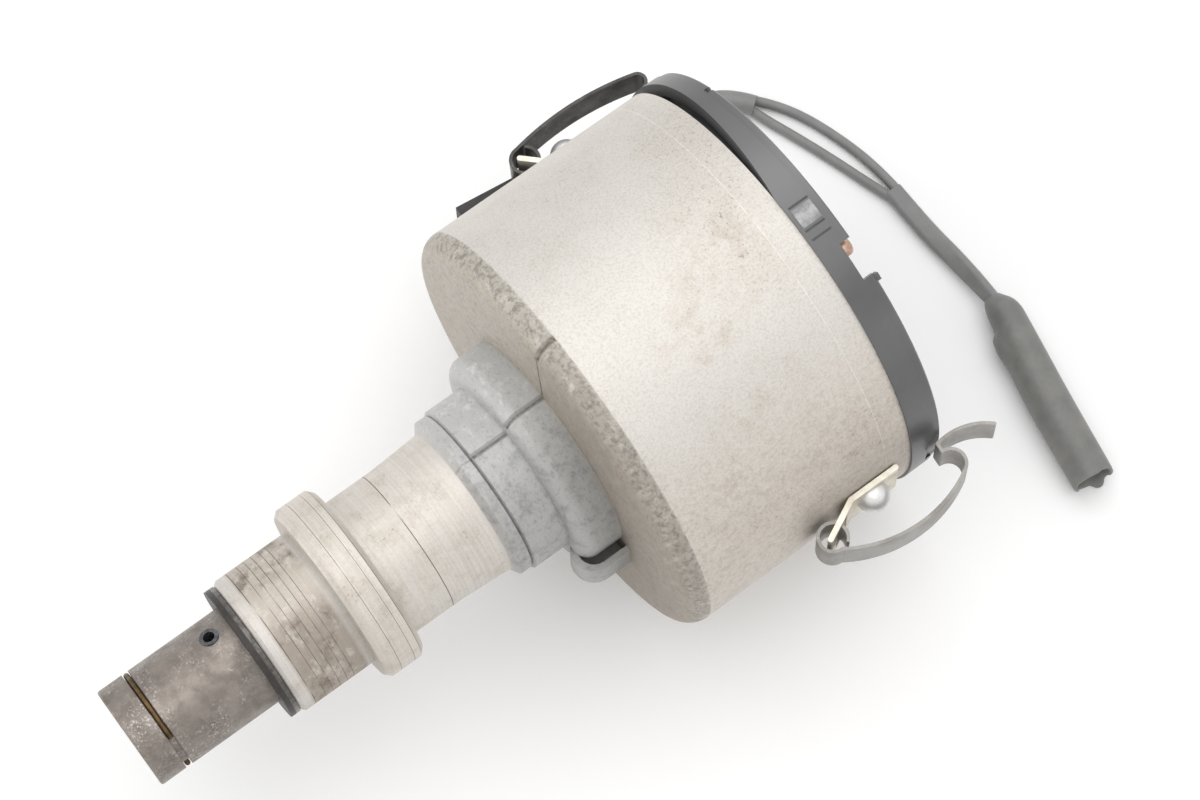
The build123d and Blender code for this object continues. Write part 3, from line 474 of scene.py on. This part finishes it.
def post_place(post, turn, along):
    """The middle of a post at a place along the shaft, with the set turned round the shaft."""
    away, angle = post
    angle = math.radians(angle + turn)
    return Vector((along, away * math.cos(angle), away * math.sin(angle)))


# %% A coil with a bar across each mouth


def wind_coil(name, coil_length):
    """A closed coil that starts at the origin and goes up, with a bar across each of its mouths."""
    bpy.ops.object.select_all(action="DESELECT")
    bpy.ops.mesh.primitive_circle_add(
        vertices=wire_sides,
        radius=0.5 * spring_wire,
        location=(coil_radius, 0, 0),
        rotation=(quarter_turn, 0, 0),
    )
    coil = bpy.context.object
    coil.name = name
    bpy.ops.object.transform_apply(location=True, rotation=True, scale=True)
    winding = coil.modifiers.new("winding", "SCREW")
    winding.screw_offset = coil_length / coil_turns
    winding.iterations = coil_turns
    winding.steps = coil_steps
    winding.render_steps = coil_steps
    bpy.ops.object.modifier_apply(modifier=winding.name)
    bpy.ops.object.mode_set(mode="EDIT")
    bpy.ops.mesh.select_all(action="SELECT")
    bpy.ops.mesh.fill_holes(sides=0)
    for mouth in (-0.5 * spring_wire, coil_length + 0.5 * spring_wire):
        bpy.ops.mesh.primitive_cylinder_add(
            vertices=wire_sides,
            radius=0.5 * spring_wire,
            depth=2 * coil_radius,
            location=(0, 0, mouth),
            rotation=(0, quarter_turn, 0),
        )
    bpy.ops.object.mode_set(mode="OBJECT")
    return coil


# %% Springs
for letter, turn in (("a", 0.0), ("b", 180.0)):
    spring_low, spring_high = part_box(f"advance_spring_{letter}")
    along = 0.5 * (spring_low.x + spring_high.x)
    first_eye = post_place(carrier_post, turn, along)
    second_eye = post_place(yoke_post, turn, along)
    line = (second_eye - first_eye).normalized()
    coil_start = first_eye + line * (eye_radius + spring_wire)
    coil_end = second_eye - line * (eye_radius + spring_wire)
    coil_length = (coil_end - coil_start).length
    spring = wind_coil(f"spring_coil_{letter}", coil_length)
    spring.location = coil_start
    spring.rotation_euler = line.to_track_quat("Z", "X").to_euler()
    bpy.ops.object.transform_apply(location=True, rotation=True, scale=True)
    bpy.ops.object.mode_set(mode="EDIT")
    for eye in (first_eye, second_eye):
        bpy.ops.mesh.primitive_torus_add(
            location=eye,
            rotation=(0, quarter_turn, 0),
            major_radius=eye_radius,
            minor_radius=0.5 * spring_wire,
            major_segments=eye_steps,
            minor_segments=wire_sides,
        )
    bpy.ops.mesh.select_all(action="SELECT")
    bpy.ops.mesh.normals_make_consistent(inside=False)
    bpy.ops.object.mode_set(mode="OBJECT")
    bpy.ops.object.shade_smooth_by_angle(angle=wire_smooth_below)
    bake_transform(spring)
    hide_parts(f"advance_spring_{letter}")
    print(spring.name, "coil in mm:", round(coil_length / MM, 1), "faces:", len(spring.data.polygons))

# %% [markdown]
# ## Light
#
# The picture is a plain catalogue one: white all round, with a large soft light overhead. A white world
# gives the even part. One broad lamp, a little beyond the middle of the cup, gives the bright stripe
# along the top of the casting, and leaves the cup's bottom, which faces away from it, in soft shade.
# A weak lamp from each side lifts the flanks. These two stand well back, because a near one draws a
# sharp edge of light on the floor. Two helpers come first, for colours and for nodes.

# %% Colours and nodes


def linear(colour):
    """An sRGB hex colour as the linear RGBA value that a shader takes."""
    parts = [int(colour[start:start + 2], 16) / 255 for start in (1, 3, 5)]
    return (*[c / 12.92 if c < 0.04045 else ((c + 0.055) / 1.055) ** 2.4 for c in parts], 1.0)


def add_node(tree, kind, inputs=None, stops=None, **settings):
    """Adds a node: settings are its properties, inputs its values or links, stops a ramp's colours."""
    node = tree.nodes.new(kind)
    for name, value in settings.items():
        setattr(node, name, value)
    for socket, value in (inputs or {}).items():
        if isinstance(value, bpy.types.NodeSocket):
            tree.links.new(value, node.inputs[socket])
        else:
            node.inputs[socket].default_value = value
    for number, (place, colour) in enumerate(stops or []):
        # a new ramp already has two stops
        if number < 2:
            stop = node.color_ramp.elements[number]
            stop.position = place
        else:
            stop = node.color_ramp.elements.new(place)
        stop.color = linear(colour)
    return node


# %% White world
# what the camera, a mirror and glass see is full white, and the light on the object is weaker
world_strength = 0.66
world = bpy.data.worlds.new("white studio")
bpy.context.scene.world = world
world.use_nodes = True
world_tree = world.node_tree
sky = world_tree.nodes["Background"]
sky.inputs["Color"].default_value = linear("#ffffff")
rays = add_node(world_tree, "ShaderNodeLightPath").outputs
seen = rays["Is Camera Ray"]
for ray in ("Is Glossy Ray", "Is Transmission Ray"):
    seen = add_node(world_tree, "ShaderNodeMath", {0: seen, 1: rays[ray]}, operation="MAXIMUM").outputs[0]
strength = add_node(
    world_tree, "ShaderNodeMapRange", {"Value": seen, "To Min": world_strength, "To Max": 1.0},
).outputs["Result"]
world_tree.links.new(strength, sky.inputs["Strength"])
print("world light:", world_strength)

# %% Lamps
# each lamp's place from the camera's target and its width, in metres, and its power in watts
lamps = {
    "overhead": (Vector((0.092, 0.119, 0.887)), 1.2, 5.6),
    "left fill": (Vector((-1.594, 0.671, 0.503)), 1.0, 7.2),
    "right fill": (Vector((0.55, -1.55, 0.6)), 1.0, 1.8),
}
for name, (way, width, power) in lamps.items():
    lamp_data = bpy.data.lights.new(name, "AREA")
    lamp_data.energy = power
    lamp_data.size = width
    lamp = bpy.data.objects.new(name, lamp_data)
    bpy.context.collection.objects.link(lamp)
    lamp.location = view_target + way
    lamp.rotation_euler = way.to_track_quat("Z", "Y").to_euler()
    print(name, "lamp:", power, "W")

# %% Floor
floor_size = 6.0
floor_roughness = 0.9
bpy.ops.object.select_all(action="DESELECT")
bpy.ops.mesh.primitive_plane_add(size=floor_size, location=(view_target.x, view_target.y, cad_low.z))
floor = bpy.context.object
floor.name = "floor"
# matt and white, so that it shows the object's soft shadow and nothing else
floor_material = bpy.data.materials.new("white paper floor")
floor_material.use_nodes = True
floor_shader = floor_material.node_tree.nodes["Principled BSDF"]
floor_shader.inputs["Base Color"].default_value = linear("#ffffff")
floor_shader.inputs["Roughness"].default_value = floor_roughness
floor.data.materials.append(floor_material)
print("floor at mm:", round(cad_low.z / MM, 1))

# %% [markdown]
# ## Finishes
#
# A finish is a base colour with coats over it: grain, stains, specks, the rings of a lathe. Each coat
# needs a mask that says where it lies. An image could be painted for it. Here the masks come from noise
# on the object's own coordinates, so a grain of half a millimetre is half a millimetre on every piece,
# and from places along the shaft and round it. The helpers below make those masks and lay the coats.

# %% Start of a finish


def new_finish(name, roughness, metallic):
    """A material with a shader, and the object's coordinates to draw patterns on."""
    material = bpy.data.materials.new(name)
    material.use_nodes = True
    tree = material.node_tree
    shader = tree.nodes["Principled BSDF"]
    shader.inputs["Roughness"].default_value = roughness
    shader.inputs["Metallic"].default_value = metallic
    place = add_node(tree, "ShaderNodeTexCoord").outputs["Object"]
    return material, tree, shader, place


def paint(material, *names):
    """Gives CAD nodes or new pieces a finish in place of what they came with."""
    for name in names:
        piece = nodes[name] if name in nodes else bpy.data.objects[name]
        piece.data.materials.clear()
        piece.data.materials.append(material)


# %% Masks
noise_roughness = 0.68


def patches(tree, place, sizes, low, high, detail=5.0):
    """A mask of patches with their sizes in mm: none below the low share of noise, full above the high."""
    stretched = add_node(
        tree, "ShaderNodeMapping", {"Vector": place, "Scale": [1 / (size * MM) for size in sizes]},
    ).outputs["Vector"]
    noise = add_node(
        tree, "ShaderNodeTexNoise",
        {"Vector": stretched, "Scale": 1.0, "Detail": detail, "Roughness": noise_roughness},
    ).outputs["Fac"]
    return add_node(
        tree, "ShaderNodeMapRange", {"Value": noise, "From Min": low, "From Max": high},
        interpolation_type="SMOOTHSTEP",
    ).outputs["Result"]


def zone(tree, along, low, high, soft=0.4):
    """A mask that is full between two places along the shaft, in mm, with soft ends."""
    middle = 0.5 * (low + high) * MM
    half = 0.5 * (high - low)
    off = add_node(tree, "ShaderNodeMath", {0: along, 1: middle}, operation="SUBTRACT").outputs[0]
    off = add_node(tree, "ShaderNodeMath", {0: off}, operation="ABSOLUTE").outputs[0]
    ends = {"From Min": (half - soft) * MM, "From Max": (half + soft) * MM, "To Min": 1.0, "To Max": 0.0}
    return add_node(tree, "ShaderNodeMapRange", {"Value": off, **ends}).outputs["Result"]


def slope(tree, place, way, low, high):
    """A mask that rises from none to full between two distances from the origin along a way, in mm."""
    off = add_node(
        tree, "ShaderNodeVectorMath", {0: place, 1: way}, operation="DOT_PRODUCT",
    ).outputs["Value"]
    return add_node(
        tree, "ShaderNodeMapRange", {"Value": off, "From Min": low * MM, "From Max": high * MM},
        interpolation_type="SMOOTHSTEP",
    ).outputs["Result"]


# %% Masks joined, and coats
# a colour mix has several sockets of one name, so they go by number
MIX_SHARE, MIX_UNDER, MIX_OVER, MIX_RESULT = 0, 6, 7, 2


def together(tree, *masks):
    """Where several masks lie together."""
    joined = masks[0]
    for mask in masks[1:]:
        joined = add_node(tree, "ShaderNodeMath", {0: joined, 1: mask}, operation="MULTIPLY").outputs[0]
    return joined


def either(tree, *masks):
    """Where any of several masks lies."""
    joined = masks[0]
    for mask in masks[1:]:
        joined = add_node(tree, "ShaderNodeMath", {0: joined, 1: mask}, operation="MAXIMUM").outputs[0]
    return joined


def coats(tree, base, layers):
    """Lays coats over a base colour: each lies where its masks do, in a colour that covers so much."""
    for masks, colour, cover in layers:
        mask = together(tree, *masks)
        share = add_node(tree, "ShaderNodeMath", {0: mask, 1: cover}, operation="MULTIPLY").outputs[0]
        inputs = {MIX_SHARE: share, MIX_UNDER: base, MIX_OVER: linear(colour)}
        base = add_node(tree, "ShaderNodeMix", inputs, data_type="RGBA").outputs[MIX_RESULT]
    return base


# %% [markdown]
# ### Cast aluminium, weathered and partly turned
#
# The housing is one casting. Its pilot, flange, neck and cup were turned on a lathe and are light, the
# first three with fine rings. The collar and the boss keep the mottled, blue-grey skin of the mould,
# and the cup's bottom and its rounded corner a browner one. The casting could be cut into a piece for
# each finish. Instead a ramp along the shaft gives each zone its colour. Over it come clouds and grain,
# dark turned lines at their places, brown oil on the pilot and rusty specks in a few spots of the cup.
# Painted light and shade come on top: the skins are lighter towards +Y and darker towards -Y, the wall
# is browner towards -Y, and the oil stops short of the pilot's top, a painted highlight.

# %% Zones of the casting
housing_low, housing_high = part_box("housing")
cup_radius = housing_high.y
# places along the shaft in mm, and the colour there
zone_colours = [
    (-15.2, "#cdc8c2"),
    (-12.8, "#cfcbc6"),
    (-12.5, "#bdb5ab"),
    (-2.0, "#bfb7ad"),
    (-1.4, "#c6c2bd"),
    (-0.1, "#bdb8b1"),
    (0.2, "#d2ccc4"),
    (7.7, "#d5cfc7"),
    (8.1, "#d6d1ca"),
    (27.9, "#d4cfc8"),
    (28.6, "#b2b0ad"),
    (31.2, "#b3b1b0"),
    (31.8, "#b4b3b2"),
    (38.8, "#b4b3b1"),
    (39.4, "#adacaa"),
    (46.8, "#a7a6a3"),
    (47.0, "#aaa297"),
    (50.6, "#b0a99f"),
    (51.2, "#d2cec8"),
    (94.5, "#d1cdc7"),
]
# turned lines: place along the shaft and half width, in mm
dark_lines = [
    (-12.4, 0.09), (-10.3, 0.06), (-8.8, 0.06), (-7.3, 0.07), (-5.8, 0.06),
    (-4.4, 0.06), (2.8, 0.05), (5.6, 0.05), (7.0, 0.05), (16.4, 0.09),
]
bright_lines = [(89.4, 0.07)]
# stained spots on the cup: place along the shaft in mm, angle from the top towards +Y, and size in mm
cup_spots = [(70.2, -15, 10.0), (82.7, -2, 13.0), (72.7, -35, 9.0), (84.4, -64, 9.0), (62.0, -52, 12.0)]
# the mould's parting line runs along the casting's top, at this angle towards +Y
seam_angle = math.radians(4.4)
seam_half_width = 0.22 * MM
print("zones:", len(zone_colours), "turned lines:", len(dark_lines), "spots:", len(cup_spots))

# %% Masks of the casting alone


def unrolled(tree, place):
    """The way along the shaft, and the same place as if the casting's skin were rolled out flat."""
    sides = add_node(tree, "ShaderNodeSeparateXYZ", {0: place}).outputs
    turn = add_node(tree, "ShaderNodeMath", {0: sides["Y"], 1: sides["Z"]}, operation="ARCTAN2").outputs[0]
    across = add_node(tree, "ShaderNodeCombineXYZ", {"Y": sides["Y"], "Z": sides["Z"]}).outputs[0]
    reach = add_node(tree, "ShaderNodeVectorMath", {0: across}, operation="LENGTH").outputs["Value"]
    arc = add_node(tree, "ShaderNodeMath", {0: turn, 1: reach}, operation="MULTIPLY").outputs[0]
    flat = add_node(tree, "ShaderNodeCombineXYZ", {"X": sides["X"], "Y": arc, "Z": reach}).outputs[0]
    return sides["X"], flat


def turned_lines(tree, along, flat, lines):
    """Thin lines round the shaft, broken here and there."""
    marks = []
    for x, half in lines:
        near = {0: along, 1: x * MM, 2: half * MM}
        marks.append(add_node(tree, "ShaderNodeMath", near, operation="COMPARE").outputs[0])
    broken = patches(tree, flat, (30.0, 9.0, 30.0), 0.3, 0.5, 2.0)
    return together(tree, either(tree, *marks), broken)


def stained_spots(tree, place, spots):
    """Soft round spots on the cup's wall."""
    marks = []
    for x, angle, size in spots:
        turn = math.radians(angle)
        centre = (x * MM, cup_radius * math.sin(turn), cup_radius * math.cos(turn))
        away = add_node(
            tree, "ShaderNodeVectorMath", {0: place, 1: centre}, operation="DISTANCE",
        ).outputs["Value"]
        fading = {"Value": away, "From Max": size * MM, "To Min": 1.0, "To Max": 0.0}
        marks.append(add_node(tree, "ShaderNodeMapRange", fading).outputs["Result"])
    return either(tree, *marks)


def seam_line(tree, place, where):
    """Dirt in the mould's parting line, near a plane through the shaft and on its top side only."""
    across = (0.0, math.cos(seam_angle), -math.sin(seam_angle))
    off = add_node(
        tree, "ShaderNodeVectorMath", {0: place, 1: across}, operation="DOT_PRODUCT",
    ).outputs["Value"]
    line = add_node(
        tree, "ShaderNodeMath", {0: off, 1: 0.0, 2: seam_half_width}, operation="COMPARE",
    ).outputs[0]
    height = add_node(tree, "ShaderNodeSeparateXYZ", {0: place}).outputs["Z"]
    top = add_node(tree, "ShaderNodeMath", {0: height, 1: 0.0}, operation="GREATER_THAN").outputs[0]
    ragged = patches(tree, place, (0.8, 0.8, 0.8), 0.35, 0.55, 4.0)
    return together(tree, line, top, where, ragged)


# %% Casting's ground colour
# satin and light where it was turned, duller and mottled where the mould's skin is left
turned_roughness = 0.54
skin_roughness = 0.58
# a skin of oxide hides half of the metal's mirror
cast_metallic = 0.5
casting, tree, shader, place = new_finish(
    "cast aluminium, weathered, partly turned", turned_roughness, cast_metallic,
)
along, flat = unrolled(tree, place)
share = add_node(
    tree, "ShaderNodeMapRange", {"Value": along, "From Min": housing_low.x, "From Max": housing_high.x},
).outputs["Result"]
casting_length = housing_high.x - housing_low.x
ground = add_node(
    tree, "ShaderNodeValToRGB", {"Fac": share},
    stops=[((x * MM - housing_low.x) / casting_length, colour) for x, colour in zone_colours],
).outputs["Color"]
print("casting's ramp in mm:", round(casting_length / MM, 1))

# %% Where the coats lie
pilot = zone(tree, along, -12.5, -1.6)
ends = zone(tree, along, -15.2, 27.9)
skin = zone(tree, along, 28.4, 46.9)
base_skin = zone(tree, along, 47.0, 51.15, 0.05)
corner = zone(tree, along, 48.0, 51.15, 0.25)
wall = zone(tree, along, 51.2, 120.0, 0.1)
rough_skin = either(tree, skin, base_skin)
# patches: their sizes in mm, the noise where they start and where they are full, and their detail
# the real rings, grain and specks are finer, and are drawn this coarse so that they show
rings = patches(tree, flat, (0.4, 40.0, 40.0), 0.35, 0.7, 3.0)
fine = patches(tree, place, (0.4, 0.4, 0.4), 0.4, 0.68, 3.0)
specks = patches(tree, place, (0.5, 0.5, 0.5), 0.56, 0.66, 4.0)
flecks = patches(tree, flat, (0.5, 0.9, 0.7), 0.54, 0.66, 4.0)
scuffs = patches(tree, place, (1.1, 1.1, 1.1), 0.44, 0.66, 6.0)
blotch = patches(tree, place, (5.0, 5.0, 5.0), 0.46, 0.66, 7.0)
dark_cloud = patches(tree, place, (2.8, 2.8, 2.8), 0.46, 0.7, 8.0)
light_cloud = patches(tree, flat, (2.2, 3.0, 6.0), 0.5, 0.7, 8.0)
haze = patches(tree, place, (26.0, 26.0, 26.0), 0.4, 0.66, 5.0)
oil = patches(tree, flat, (4.0, 6.0, 30.0), 0.44, 0.68, 7.0)
spots = together(tree, wall, stained_spots(tree, place, cup_spots), blotch)
# painted highlight: the oil stops short of the pilot's top, so the top stays light; painted shade
# and light: the casting is darker towards -Y and lighter towards +Y, for how the light falls
SIDEWAYS = (0.0, 1.0, 0.0)
nearly_up = (0.0, 0.1, 0.995)
# painted highlight along the pilot's top: no oil there
oil = together(tree, oil, slope(tree, place, nearly_up, 13.35, 12.3))
pilot_shade = slope(tree, place, SIDEWAYS, 1.0, -6.0)
# painted shade: the skins darker towards -Y, where less light falls
shaded_side = slope(tree, place, SIDEWAYS, 20.0, -10.0)
# painted light: the skins lighter towards +Y, the side the light comes from
lit_side = slope(tree, place, SIDEWAYS, -12.0, 16.0)
# painted warm shade on the wall towards -Y
shaded_low_side = slope(tree, place, SIDEWAYS, -18.0, -36.0)
seam = seam_line(tree, place, rough_skin)
print("casting's nodes so far:", len(tree.nodes))

# %% Casting's coats
colour = coats(tree, ground, [
    ((wall, haze), "#b9b1a8", 0.3),
    ((wall, fine), "#a0958a", 0.3),
    ((wall, haze, specks), "#86766a", 0.55),
    # painted warm shade on the wall's -Y side, and dark specks there
    ((wall, shaded_low_side), "#b59c80", 0.15),
    ((wall, shaded_low_side, scuffs), "#85766a", 0.24),
    ((spots,), "#a4917c", 0.4),
    ((spots, specks), "#6b5644", 0.6),
    ((ends, rings), "#9f968c", 0.22),
    ((ends, fine), "#a0968b", 0.18),
    ((ends, blotch), "#a3947f", 0.25),
    ((ends, blotch, specks), "#75675a", 0.45),
    ((pilot, pilot_shade), "#8b8075", 0.55),
    ((pilot, light_cloud), "#ded8d0", 0.5),
    ((pilot, oil), "#7b6d60", 0.78),
    ((pilot, oil, scuffs), "#4c4239", 0.65),
    # painted shade in the dark clouds on the -Y side, and painted light on the +Y side
    ((skin, shaded_side, dark_cloud), "#7c7e82", 0.6),
    ((skin, lit_side), "#cfcfce", 0.4),
    ((skin, lit_side, light_cloud), "#dedede", 0.65),
    ((skin, flecks), "#66645f", 0.3),
    # painted shade and painted light on the two sides of the cup's bottom
    ((base_skin, shaded_side), "#8d8479", 0.4),
    ((base_skin, dark_cloud), "#8a8177", 0.4),
    ((base_skin, lit_side), "#c4bcb1", 0.35),
    ((base_skin, light_cloud), "#c2bab0", 0.25),
    ((base_skin, scuffs), "#857d74", 0.25),
    ((corner,), "#aea9a2", 0.35),
    ((corner, light_cloud), "#d2cdc5", 0.5),
    ((corner, scuffs), "#746e67", 0.6),
    ((base_skin, flecks), "#5b544b", 0.35),
    ((seam,), "#4d4843", 0.35),
    ((turned_lines(tree, along, flat, dark_lines),), "#4f473f", 0.8),
    ((turned_lines(tree, along, flat, bright_lines),), "#f4f2ee", 0.35),
])
tree.links.new(colour, shader.inputs["Base Color"])
print("casting's nodes with its coats:", len(tree.nodes))

# %% Casting's roughness and bump
# the mould's sandy grain stands out most, the lathe's rings less, and the fine grain all over least
rings_height = 0.3
fine_height = 0.2
cast_bump_depth = 0.12 * MM
cast_bump_strength = 0.3
rough = add_node(
    tree, "ShaderNodeMapRange",
    {"Value": rough_skin, "To Min": turned_roughness, "To Max": skin_roughness},
).outputs["Result"]
tree.links.new(rough, shader.inputs["Roughness"])
grain = add_node(tree, "ShaderNodeMath", {0: scuffs, 1: dark_cloud}, operation="ADD").outputs[0]
height = together(tree, rough_skin, grain)
for relief, share in ((together(tree, ends, rings), rings_height), (fine, fine_height)):
    inputs = {0: relief, 1: share, 2: height}
    height = add_node(tree, "ShaderNodeMath", inputs, operation="MULTIPLY_ADD").outputs[0]
bump = add_node(
    tree, "ShaderNodeBump",
    {"Height": height, "Strength": cast_bump_strength, "Distance": cast_bump_depth},
)
tree.links.new(bump.outputs["Normal"], shader.inputs["Normal"])
paint(casting, "housing")
print("housing painted")

# %% [markdown]
# ### Steels and other metals
#
# The drive end is plain steel, brown with old oil. The clips and brackets are spring steel and plated
# sheet. Each could have a node tree of its own. One recipe serves them all: a base colour, a worn
# colour in patches, bright scuffs and how rough it is.

# %% Metal recipe
# oil and oxide hide some of the metal's mirror
steel_metallic = 0.7
steel_bump_depth = 0.06 * MM
steel_bump_strength = 0.1
# unworn metal is this much smoother than a recipe's roughness, and worn metal this much rougher
smoother, rougher = 0.06, 0.12


def steel(name, colour, worn, patch, roughness, scuffed=0.0, bright="#d6d2cc"):
    """A metal with patches of wear, in mm, and fine bright scuffs, drawn as coarse as they need to show."""
    material, tree, shader, place = new_finish(name, roughness, steel_metallic)
    wear = patches(tree, place, (patch, patch, patch), 0.34, 0.7, 7.0)
    scuffs = patches(tree, place, (0.45, 0.45, 0.45), 0.5, 0.68, 4.0)
    where = patches(tree, place, (7.0, 7.0, 7.0), 0.42, 0.66, 3.0)
    shade = coats(tree, linear(colour), [((wear,), worn, 1.0), ((scuffs, where), bright, scuffed)])
    tree.links.new(shade, shader.inputs["Base Color"])
    rough = add_node(
        tree, "ShaderNodeMapRange",
        {"Value": wear, "To Min": roughness - smoother, "To Max": roughness + rougher},
    ).outputs["Result"]
    tree.links.new(rough, shader.inputs["Roughness"])
    height = add_node(tree, "ShaderNodeMath", {0: wear, 1: scuffs}, operation="SUBTRACT").outputs[0]
    bump = add_node(
        tree, "ShaderNodeBump",
        {"Height": height, "Strength": steel_bump_strength, "Distance": steel_bump_depth},
    )
    tree.links.new(bump.outputs["Normal"], shader.inputs["Normal"])
    return material


# %% Metal pieces outside
# old oil has browned it: dull, with small bright scuffs where it was rubbed
paint(
    steel("plain steel, brown with oil", "#8c847d", "#736b65", 4.5, 0.42, 0.75, "#c8c2bb"),
    "drive_coupling",
)
# dark and smooth, with a glint on its rim
paint(steel("roll pin spring steel, dark", "#6e6f72", "#3d3d40", 1.0, 0.25), "coupling_pin")
# a golden brown line in the coupling's groove
paint(steel("spring wire, golden brown", "#6f5836", "#3f3122", 1.5, 0.4), "coupling_ring")
# smooth and wet: dark, with a sharp sheen
paint(
    steel("hardened steel shim, oily", "#6a6764", "#3b3836", 1.5, 0.24),
    "thrust_shim", "upper_thrust_washer",
)
# an even grey with a soft sheen along the strip
paint(
    steel("spring steel strip, satin", "#908d89", "#827e79", 9.0, 0.36, 0.15),
    "clip_right", "spring_coil_a", "spring_coil_b", "spindle_circlip", "trigger_circlip",
)
# painted shade: the same strip as the right clip, painted nearly black for the shade it lies in, with a
# dull sheen
paint(steel("spring steel strip, painted shade", "#4d4b49", "#3e3c39", 6.0, 0.4, 0.15), "clip_left")
# pale and warm, with hardly any shine left
paint(
    steel("zinc plated sheet, gone cream", "#e4dfd2", "#cdc4b2", 4.5, 0.5, 0.2, "#f3efe4"),
    "clip_bracket_left", "clip_bracket_right",
)
# nearly white: bright aluminium, lightened further as a painted highlight on its dome
paint(steel("rivet, bright aluminium, painted highlight", "#efefee", "#dcdbd9", 1.6, 0.45, 0.4, "#f7f7f7"), "clip_rivets")
# a pale pink spot in the black band
paint(steel("copper rivet, dull", "#c9aa98", "#ae8c7b", 1.2, 0.45), "cover_rivet")
print("outer metal pieces painted")

# %% Metal pieces inside
# bright and even, with a film of oil
paint(steel("ground steel, oily", "#a5a5a5", "#85827e", 3.0, 0.3, 0.3), "drive_shaft", "rotor_sleeve")
# a yellowish grey with cloudy patches
paint(
    steel("stamped steel, zinc plated", "#a8a69f", "#84817a", 3.0, 0.42, 0.3),
    "weight_carrier", "weight_pivots", "spring_posts", "advance_weight_a", "advance_weight_b",
    "base_plate", "base_plate_screws", "pickup_stator", "stator_rivets", "trigger_wheel", "trigger_key",
)
# a brown gold with fine dark pores
paint(steel("sintered bronze, oily", "#a9824e", "#7b5b35", 0.8, 0.45), "lower_bush", "upper_bush")
# yellow, with brown tarnish in patches
paint(steel("brass terminal, plain", "#c4a25c", "#8f7440", 1.5, 0.35), "connector_terminal")
print("inner metal pieces painted")

# %% [markdown]
# ### Rubber, plastic, fibre and felt
#
# These are dull and mostly dark, and dust makes them grey. A flat colour would look like new plastic.
# The recipe is a base colour, a dusty colour that shows in patches, tan dirt where it is thickest, a
# painted pale sheen along one side where it is asked for, and a fine bump.

# %% Dull recipe
dirt_size = 2.6
dull_bump_depth = 0.1 * MM
# across the shaft, the cover's painted pale sheen comes up between two places and fades between two, in mm
painted_sheen_rise = (-8.0, 4.0)
painted_sheen_fade = (32.0, 10.0)


def dull(name, colour, dusty, patch, roughness, bump_size, bump_strength, dirty=0.0, gloss=0.5, painted_sheen=0.0):
    """Rubber or plastic with patches of dust, spots of dirt, a painted pale sheen and a bump, sizes in mm.
    """
    material, tree, shader, place = new_finish(name, roughness, 0.0)
    dust = patches(tree, place, (patch, patch, patch), 0.35, 0.7, 6.0)
    dirt = patches(tree, place, (dirt_size, dirt_size, dirt_size), 0.55, 0.72, 4.0)
    layers = [((dust,), dusty, 1.0), ((dirt,), "#8a7d6c", dirty)]
    if painted_sheen:
        # painted sheen: a paler grey along the top, between two places across the shaft
        rising = slope(tree, place, SIDEWAYS, *painted_sheen_rise)
        fading = slope(tree, place, SIDEWAYS, *painted_sheen_fade)
        layers.append(((rising, fading), "#676768", painted_sheen))
    tree.links.new(coats(tree, linear(colour), layers), shader.inputs["Base Color"])
    shader.inputs["Specular IOR Level"].default_value = gloss
    fine = patches(tree, place, (bump_size, bump_size, bump_size), 0.3, 0.7, 4.0)
    bump = add_node(
        tree, "ShaderNodeBump", {"Height": fine, "Strength": bump_strength, "Distance": dull_bump_depth},
    )
    tree.links.new(bump.outputs["Normal"], shader.inputs["Normal"])
    return material


# %% Dull pieces outside
# black with a broad sheen, and a painted pale sheen along its top
paint(
    dull(
        "moulded black plastic, soft sheen", "#3f3f40", "#474748", 9.0, 0.32, 0.6, 0.04,
        gloss=1.0, painted_sheen=0.75,
    ),
    "dust_cover",
)
# painted sheen: a small smooth patch, painted grey with paler patches for the light it mirrors
paint(
    dull(
        "moulded black plastic, pad in painted sheen", "#6e6e6f", "#a6a6a7", 2.0, 0.25, 0.6, 0.05,
        gloss=1.0,
    ),
    "cover_pad",
)
# thin dark ridges
paint(
    dull("moulded black plastic, sharp edges", "#3a3a3b", "#454546", 1.5, 0.4, 0.6, 0.05),
    "cover_line_a", "cover_line_b", "cover_line_c",
)
# an even mid grey with a little tan dirt
paint(
    dull("rubber lead, dusty", "#7f7f7f", "#898886", 4.5, 0.5, 0.5, 0.06, dirty=0.1),
    "lead_sheath_cord", "lead_upper_cord", "lead_lower_cord", "lead_tail_cord",
)
# a darker grey with more dirt
paint(dull("rubber boot, dusty", "#737472", "#807f7b", 5.0, 0.45, 0.6, 0.08, dirty=0.3), "rubber_boot")
# black and matt
paint(dull("rubber grommet, black", "#1f1f1f", "#33312f", 4.0, 0.55, 0.5, 0.15), "lead_grommet")
# nearly black, soaked with oil
paint(dull("fibre washer, oily", "#1f1b18", "#2f2823", 1.5, 0.45, 0.3, 0.2), "fibre_washer")
print("outer dull pieces painted")

# %% Dull pieces inside
# black with a soft sheen
paint(dull("wire insulation, black", "#262626", "#3a3836", 3.0, 0.5, 0.5, 0.1), "pickup_wires")
# tan and fuzzy, with no shine
paint(dull("felt wick, oiled", "#8d7d5e", "#a5946f", 0.8, 0.9, 0.25, 0.6), "felt_wick")
# an even dark grey
paint(dull("ferrite magnet, matt", "#2b2b2d", "#3b3a39", 2.0, 0.7, 0.3, 0.2), "pickup_magnet")
# dark brown tape under a varnish that shines a little
paint(dull("taped winding, varnished", "#2b2320", "#413630", 2.0, 0.4, 0.8, 0.3), "pickup_coil")
print("inner dull pieces painted")

# %% [markdown]
# ## Colour view
#
# The Standard view shows a colour about as it is written, where others would bend it.

# %% Standard view
bpy.context.view_layer.update()
bpy.context.scene.view_settings.view_transform = "Standard"
